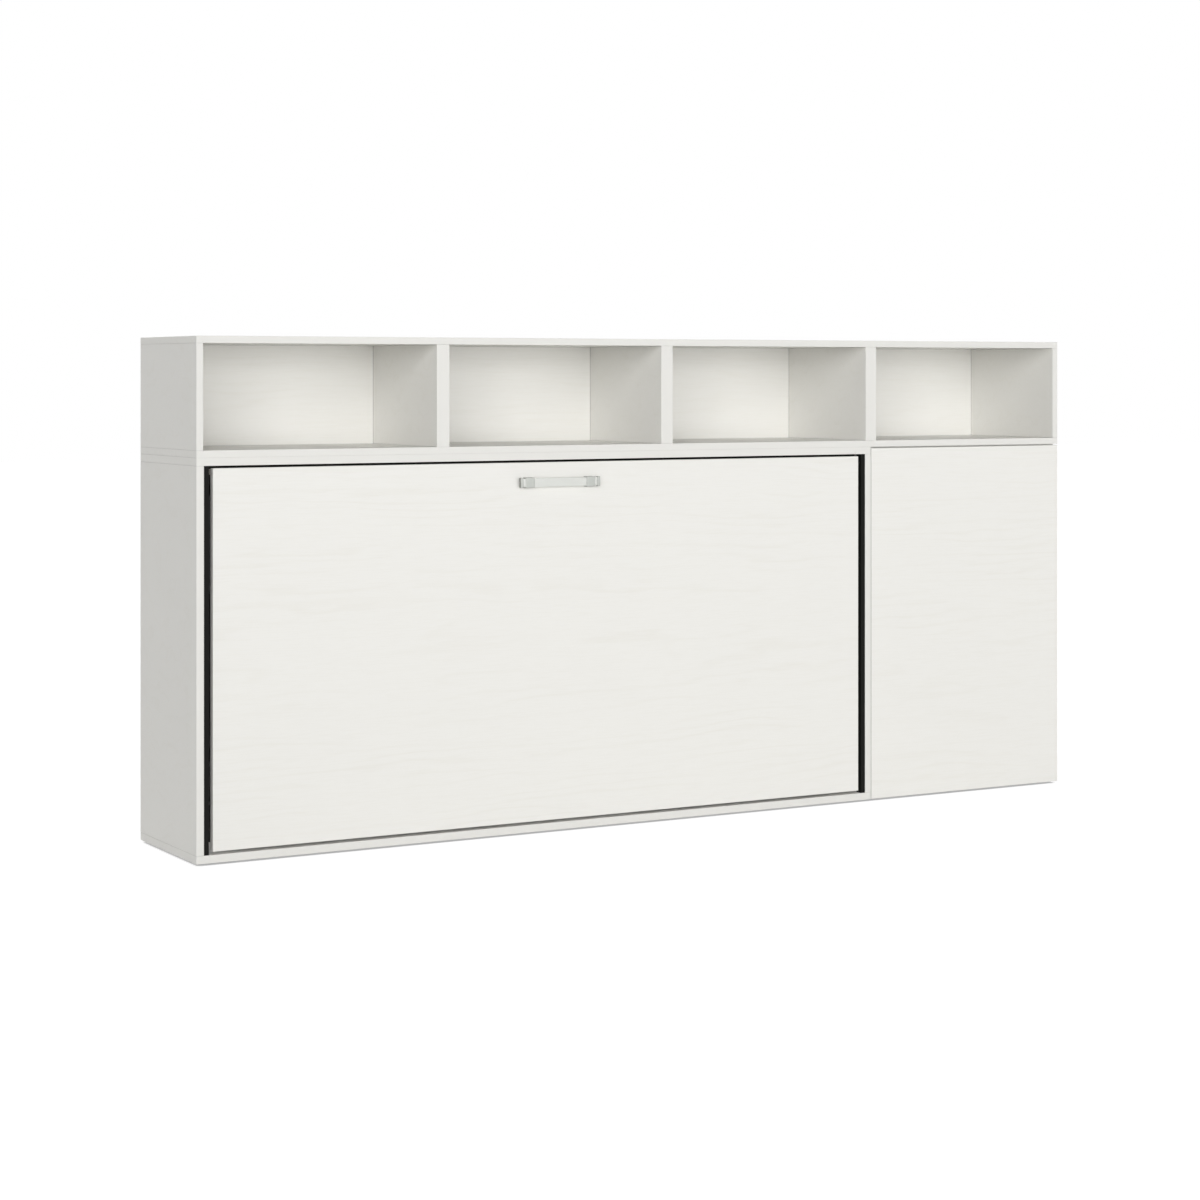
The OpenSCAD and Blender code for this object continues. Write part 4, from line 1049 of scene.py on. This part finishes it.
# Wall screws through the plates and through the lower rail
wall = {
    "apart": 800,        # mm from the bed's middle to the screws
    "inset": 50,         # mm from the rails' outer edges
    "bracket": (18, 15),  # mm beside the wall screw and from the bracket's front edge
}
bracketLow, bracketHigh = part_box("wall_brackets")
railLow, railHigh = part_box("rear_rails")
wallX = [pivot.x - wall["apart"] * mm, pivot.x + wall["apart"] * mm]
addScrews("wallScrews", [(x, bracketHigh.y - plateThick, railHigh.z - wall["inset"] * mm) for x in wallX]
          + [(x, railLow.y, railLow.z + wall["inset"] * mm) for x in wallX],
          (0, -1, 0), "cabinet", zincFinish, 1.6, True)
beside, behind = (v * mm for v in wall["bracket"])
addScrews("bracketScrews", [(x + side * beside, bracketLow.y + behind, bracketHigh.z - plateThick)
                            for x in wallX for side in (-1, 1)],
          (0, 0, -1), "cabinet", zincFinish)

# The bed's front is screwed to the frame from behind, between the slats
slats = {
    "wide": 68,          # mm
    "count": 14,
    "screwsBy": (1, 5, 7, 11),
}
tubeLow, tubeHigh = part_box("bed_frame_end_tubes")
tubeWide = tubeHigh.y - tubeLow.y
slatWide = slats["wide"] * mm
slatStep = (slatHigh.x - slatLow.x - slatWide) / (slats["count"] - 1)
frontScrews = []
for i in slats["screwsBy"]:
    x = slatLow.x + slatWide / 2 + (i - 0.5) * slatStep
    for z in (tubeLow.z + tubeWide / 2, tubeHigh.z - tubeWide / 2):
        frontScrews.append((x, tubeHigh.y, z))
addScrews("frontScrews", frontScrews, (0, 1, 0), "bed", zincFinish, 1.1, True)

# Plastic plugs in the ends of the frame tubes
bm = bmesh.new()
for x in (tubeLow.x, tubeHigh.x - tubeWide):
    for z, out in ((tubeLow.z, -1), (tubeHigh.z, 1)):
        ends = sorted((z, z + out * 3 * mm))
        addBox(bm, (x, tubeLow.y, ends[0]), (x + tubeWide, tubeHigh.y, ends[1]), 1.2 * mm, 3)
newPiece("tubePlugs", bm, (nylonFinish,), "bed")

weld = {
    "radius": 1.9,       # mm
    "ripple": 0.28,      # mm that each drop of weld stands out
    "drops": 3.4,        # mm between drops
    "step": 1.1,         # mm between rings of the mesh
    "back": 1,           # mm from the tubes' front face, which touches the bed's front
}


# A bead round the square end of a tube; corners are given in order
def addWeld(bm, corners, up):
    path = []
    for one, two in zip(corners, corners[1:] + corners[:1]):
        run = Vector(two) - Vector(one)
        count = round(run.length / (weld["step"] * mm))
        path += [Vector(one) + run * i / count for i in range(count)]

    def bead(i):
        ripple = weld["ripple"] * math.sin(2 * math.pi * i * weld["step"] / weld["drops"])
        return roundOutline((weld["radius"] + ripple) * mm)

    addSweep(bm, path, bead, up, closed=True)


bm = bmesh.new()
longLow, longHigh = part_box("bed_frame_long_tubes")
for x in (longLow.x, longHigh.x):
    for z in (longLow.z, longHigh.z - tubeWide):
        y0, y1 = longLow.y + weld["back"] * mm, longHigh.y
        addWeld(bm, [(x, y0, z), (x, y1, z), (x, y1, z + tubeWide), (x, y0, z + tubeWide)], (1, 0, 0))
crossLow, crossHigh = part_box("bed_frame_cross_bars")
for i in (1, 2, 3):      # the cross bars stand at the quarters of the frame
    x = tubeLow.x + i * (tubeHigh.x - tubeLow.x) / 4 - tubeWide / 2
    for z in (crossLow.z, crossHigh.z):
        y0, y1 = crossLow.y + weld["back"] * mm, crossHigh.y
        addWeld(bm, [(x, y0, z), (x + tubeWide, y0, z), (x + tubeWide, y1, z), (x, y1, z)], (0, 0, 1))
newPiece("frameWelds", bm, (blackSteelFinish,), "bed")
print("frame welded")

# Nylon shoe on each folding leg, and a domed cap over its hinge pin
shoe = {
    "bar": 3.5,          # mm, thickness of the leg
    "half": 15.2,        # mm, half the shoe's depth
    "tall": 24,
    "skin": 0.4,
}
for side, inner in (("left", 1), ("right", -1)):
    legLow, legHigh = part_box("bed_leg_" + side)
    outer = legLow.x if inner > 0 else legHigh.x
    barX = sorted((outer, outer + inner * shoe["bar"] * mm))
    hinge = jointPlace["bed_leg_%s_fold" % side]
    half = shoe["half"] * mm
    skin = shoe["skin"] * mm
    bm = bmesh.new()
    addBox(bm, (barX[0] - skin, hinge.y - half, legLow.z),
           (barX[1] + skin, hinge.y + half, legLow.z + shoe["tall"] * mm), 0.35 * mm)
    newPiece("legShoe" + side.capitalize(), bm, (nylonFinish,), "bed_leg_" + side)
    bm = bmesh.new()
    addTurned(bm, (outer, hinge.y, hinge.z), (-inner, 0, 0), [
        (0, 0, 0), (0, 8 * mm, 0), (1.2 * mm, 8 * mm, 0), (2.4 * mm, 6.4 * mm, 0), (3 * mm, 3.4 * mm, 0),
        (3.1 * mm, 0, 0)], sides=28)
    newPiece("hingeCap" + side.capitalize(), bm, (zincFinish,), "bed")

strut = {
    "radius": 8.25,      # mm, the wiper cap round the cylinder's end
    "bore": 4.3,
    "cap": 9,
    "crimp": 26,         # mm from the cap to the crimped groove
    "pin": (200, 400),   # mm from the fixed pin forward and down to the moving one
    "tube": 268.2,       # mm from the fixed pin to the cylinder's end
}
lean = Vector((0, -strut["pin"][0], -strut["pin"][1])).normalized()
for side in ("left", "right"):
    stud = jointPlace["strut_%s_turn" % side]
    cylinderLow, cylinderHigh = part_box("strut_cylinder_" + side)
    start = Vector(((cylinderLow.x + cylinderHigh.x) / 2, stud.y, stud.z)) + lean * strut["tube"] * mm
    r = strut["radius"] * mm
    bore = strut["bore"] * mm
    bm = bmesh.new()
    addTurned(bm, start - lean * strut["cap"] * mm, lean, [
        (0, 7.9 * mm, 0), (0.4 * mm, r, 0), (8.6 * mm, r, 0), (10 * mm, r - 1.4 * mm, 0),
        (11.5 * mm, bore + 1.6 * mm, 0), (11.5 * mm, bore, 0), (8 * mm, bore, 0)], sides=28)
    for back in (strut["crimp"], strut["crimp"] + 5):
        addTurned(bm, start - lean * back * mm, lean, [
            (0, 7.9 * mm, 0), (0.5 * mm, 8.2 * mm, 0), (1.3 * mm, 8.2 * mm, 0), (1.8 * mm, 7.9 * mm, 0)],
            sides=28)
    newPiece("strutCap" + side.capitalize(), bm, (nylonFinish,), "strut_" + side)
print("bed fittings made")

# Screws of the desk's fittings, on both sides
fittings = {
    "bearingThick": 2.5,  # mm
    "hingeIn": 45,       # mm from a hinge bracket's outer side to its screws
    "footIn": 8,         # and from a leg bracket's
    "footEnd": 7,
}
bearingLow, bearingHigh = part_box("arm_bearing_plates")
bearingThick = fittings["bearingThick"] * mm
addScrews("bearingScrews", [(x, bearingHigh.y - inset, z)
                            for x in (bearingLow.x + bearingThick, bearingHigh.x - bearingThick)
                            for z in (bearingLow.z + inset, bearingHigh.z - inset)],
          inward((bearingLow.x + bearingHigh.x) / 2), "cabinet", zincFinish)
hingeLow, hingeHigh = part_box("front_hinge_brackets")
footLow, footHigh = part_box("desk_leg_brackets")
hingeIn, footIn, footEnd = (fittings[k] * mm for k in ("hingeIn", "footIn", "footEnd"))
deskScrews = []
for hingeX, footX in ((hingeLow.x + hingeIn, footLow.x + footIn),
                      (hingeHigh.x - hingeIn, footHigh.x - footIn)):
    deskScrews += [(hingeX, hingeLow.y + plateThick, z) for z in (hingeLow.z + inset, hingeHigh.z - inset)]
    deskScrews += [(footX, footLow.y + plateThick, z)
                   for z in (footLow.z + footEnd, footHigh.z - footEnd)]
addScrews("deskScrews", deskScrews, (0, 1, 0), "desk", zincFinish, 0.85)

# Toothed belts along the swing arms, and thin flanges on their pulleys
belts = {
    "pitch": 5,          # mm
    "teeth": (20, 10),   # of the fixed pulley and of the one that turns with the front
    "loop": 85,          # teeth of the belt
    "gap": 0.3,          # mm between the belt's teeth and the pulleys
    "tooth": 1.2,        # mm high
    "band": 1.0,         # mm thick
    "wide": 7.6,
    "flange": 18.2,      # mm, radius of the larger pulley's flanges
    "flangeThick": 0.5,
    "flangeAt": 3.9,     # mm from the belt's middle
    "flangeIn": (3, 2),  # mm from each pulley's pitch line to the bore of its flanges
}
bigR, smallR = (n * belts["pitch"] * mm / (2 * math.pi) for n in belts["teeth"])
fixedAxis = jointPlace["desk_fold"]
movingAxis = jointPlace["desk_turn"]
armLong = movingAxis.z - fixedAxis.z
beltLean = math.asin((bigR - smallR) / armLong)
straight = armLong * math.cos(beltLean)
bigWrap = bigR * (math.pi + 2 * beltLean)
smallWrap = smallR * (math.pi - 2 * beltLean)
loopLong = 2 * straight + bigWrap + smallWrap


# (y, z) at a distance round the loop from the bottom of the larger pulley, off outward
def loopPlace(way, off):
    way = way % loopLong
    if way > loopLong / 2:
        y, z = loopPlace(loopLong - way, off)
        return 2 * fixedAxis.y - y, z
    middle, radius = fixedAxis, bigR
    if way <= bigWrap / 2:
        turn = -math.pi / 2 + way / bigR
        run = 0
    elif way <= bigWrap / 2 + straight:
        turn = beltLean
        run = way - bigWrap / 2
    else:
        turn = beltLean + (way - bigWrap / 2 - straight) / smallR
        middle, radius, run = movingAxis, smallR, 0
    y = middle.y + (radius + off) * math.cos(turn) - run * math.sin(beltLean)
    z = middle.z + (radius + off) * math.sin(turn) + run * math.cos(beltLean)
    return y, z


def addBelt(bm, middleX):
    half = belts["wide"] / 2 * mm
    root = (belts["gap"] + belts["tooth"]) * mm
    tip = belts["gap"] * mm
    outer = root + belts["band"] * mm
    profile = ((-0.30, root), (-0.20, tip), (0.0, tip), (0.20, tip), (0.30, root), (0.5, root))
    rings = []
    for tooth in range(belts["loop"]):
        for at, off in profile:
            way = (tooth + at) * loopLong / belts["loop"]
            inner, cover = loopPlace(way, off), loopPlace(way, outer)
            rings.append([bm.verts.new((middleX - half, *inner)), bm.verts.new((middleX + half, *inner)),
                          bm.verts.new((middleX + half, *cover)), bm.verts.new((middleX - half, *cover))])
    for one, two in zip(rings, rings[1:] + rings[:1]):
        for i in range(4):
            j = (i + 1) % 4
            bm.faces.new((one[i], one[j], two[j], two[i]))


# Thin discs on both sides of a pulley that keep the belt on it
def addFlanges(bm, middleX, axis, radius, bore):
    for out in (-1, 1):
        face = middleX + out * belts["flangeAt"] * mm
        thick = belts["flangeThick"] * mm
        addTurned(bm, (face, axis.y, axis.z), (out, 0, 0), [
            (0, bore, 0), (0, radius, 0), (thick * 0.6, radius, 0), (thick, radius - 0.4 * mm, 0),
            (thick, bore, 0), (0, bore, 0)], sides=48)


bigFlanges = bmesh.new()
smallFlanges = bmesh.new()
flangeR = belts["flange"] * mm
bigIn, smallIn = (v * mm for v in belts["flangeIn"])
for side in ("left", "right"):
    low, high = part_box("arm_belt_" + side)
    middleX = (low.x + high.x) / 2
    bm = bmesh.new()
    addBelt(bm, middleX)
    belt = newPiece("belt" + side.capitalize(), bm, (beltFinish,), "arm_" + side)
    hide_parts("arm_belt_" + side)
    addFlanges(bigFlanges, middleX, fixedAxis, flangeR, bigR - bigIn)
    addFlanges(smallFlanges, middleX, movingAxis, smallR + flangeR - bigR, smallR - smallIn)
newPiece("fixedPulleyFlanges", bigFlanges, (zincFinish,), "cabinet")
newPiece("movingPulleyFlanges", smallFlanges, (zincFinish,), "desk")
giveMaterial(nodes["arm_fixed_pulleys"], nylonFinish)

# Sleeves of the spare holes for the shelf pins. The holes are drawn shallow, and the black disc at the
# bottom of each is painted shade standing for the depth of the hole
sleeves = {
    "pin": 2.5,          # mm, radius of a pin
    "pitch": 32,         # mm between holes
    "rows": (-3, -2, -1, 1, 2, 3),  # above and below each shelf's pins
    "rim": 3.9,          # mm, radius
    "hole": 2.6,
    "high": 0.4,
}
pinLow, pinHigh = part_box("shelf_pins")
pinR, rim, hole, high = (sleeves[k] * mm for k in ("pin", "rim", "hole", "high"))
bm = bmesh.new()
places = [(x, y, z + row * sleeves["pitch"] * mm) for x in (pinLow.x, pinHigh.x)
          for y in (pinLow.y + pinR, pinHigh.y - pinR) for z in (pinLow.z + pinR, pinHigh.z - pinR)
          for row in sleeves["rows"]]
for place in places:
    axis = (1 if place[0] == pinLow.x else -1, 0, 0)
    addTurned(bm, place, axis, [(0, 0, 0), (0, rim, 0), (high - 0.1 * mm, rim - 0.3 * mm, 0),
                                (high, hole + 0.2 * mm, 0), (high / 2, hole, 0)])
    # Black bottom disc: painted shade for the inside of a deep hole
    addTurned(bm, place, axis, [(0, hole + 0.1 * mm, 0), (high / 2, hole + 0.1 * mm, 0),
                                (high / 2, 0, 0)], paint=1)
newPiece("shelfSleeves", bm, (zincFinish, nylonFinish), "cabinet")

# Dark seal under the top board, just behind the upper edge of the bed's front. Partly a real seal, partly
# painted shade: it darkens the gap above the front, through which the lit inside of the cabinet would show
seal = {
    "back": 1.6,         # mm behind the front
    "thick": 3.5,
    "drop": 8.5,         # mm below the board
    "past": 3,           # mm beyond the front at each end
}
panelLow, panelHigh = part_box("bed_front_panel")
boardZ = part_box("bed_top_board")[0].z
sealY = panelHigh.y + seal["back"] * mm
bm = bmesh.new()
addBox(bm, (panelLow.x - seal["past"] * mm, sealY, boardZ - seal["drop"] * mm),
       (panelHigh.x + seal["past"] * mm, sealY + seal["thick"] * mm, boardZ), 0.8 * mm)
newPiece("topSealAndGapShade", bm, (stripFinish,), "cabinet")

# Soft pad on the latch's plunger, against the front
pad = {
    "radius": 4.6,       # mm
    "thick": 2.6,
    "past": 0.1,         # mm in front of the plunger
}
plungerLow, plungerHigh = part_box("push_latch_plunger")
plungerMiddle = (plungerLow + plungerHigh) / 2
r, thick = pad["radius"] * mm, pad["thick"] * mm
bm = bmesh.new()
addTurned(bm, (plungerMiddle.x, plungerLow.y - pad["past"] * mm, plungerMiddle.z), (0, 1, 0), [
    (0, 0, 0), (0, r - 0.7 * mm, 0), (0.6 * mm, r, 0), (thick - 0.4 * mm, r, 0),
    (thick, r - 0.4 * mm, 0), (thick, 0, 0)], sides=28)
newPiece("latchPad", bm, (rubberFinish,), "latch")
print("desk fittings made")

# How far each kind of edge is broken, in mm, and the nodes whose names start like this
edges = {
    "boards": (0.9, ["upper_", "bed_side", "bed_top", "bed_bottom", "bed_front", "side_",
                     "desk_front", "filler_"]),
    "metal": (0.8, ["handle_", "bed_frame_long", "bed_frame_end", "bed_frame_cross", "wall_",
                    "bed_pivot_plates", "arm_bearing", "push_latch_body"]),
    "slats": (2.2, ["bed_slats"]),
    "caps": (0.8, ["slat_holders"]),
    "bars": (0.5, ["desk_arm", "bed_leg", "link_rod", "front_hinge", "desk_leg_brackets"]),
}


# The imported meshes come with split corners, so they are welded before the bevel. Weighted normals
# keep the flat faces flat and shade only the broken edges.
def breakEdges(obj, width):
    for face in obj.data.polygons:
        face.use_smooth = True
    addModifier(obj, "WELD", merge_threshold=0.02 * mm)
    addModifier(obj, "BEVEL", width=width * mm, segments=2, limit_method="ANGLE",
                angle_limit=math.radians(40), use_clamp_overlap=True)
    addModifier(obj, "WEIGHTED_NORMAL", weight=100, keep_sharp=False)


for width, starts in edges.values():
    for name, obj in nodes.items():
        if any(name.startswith(s) for s in starts):
            breakEdges(obj, width)
print("edges broken")
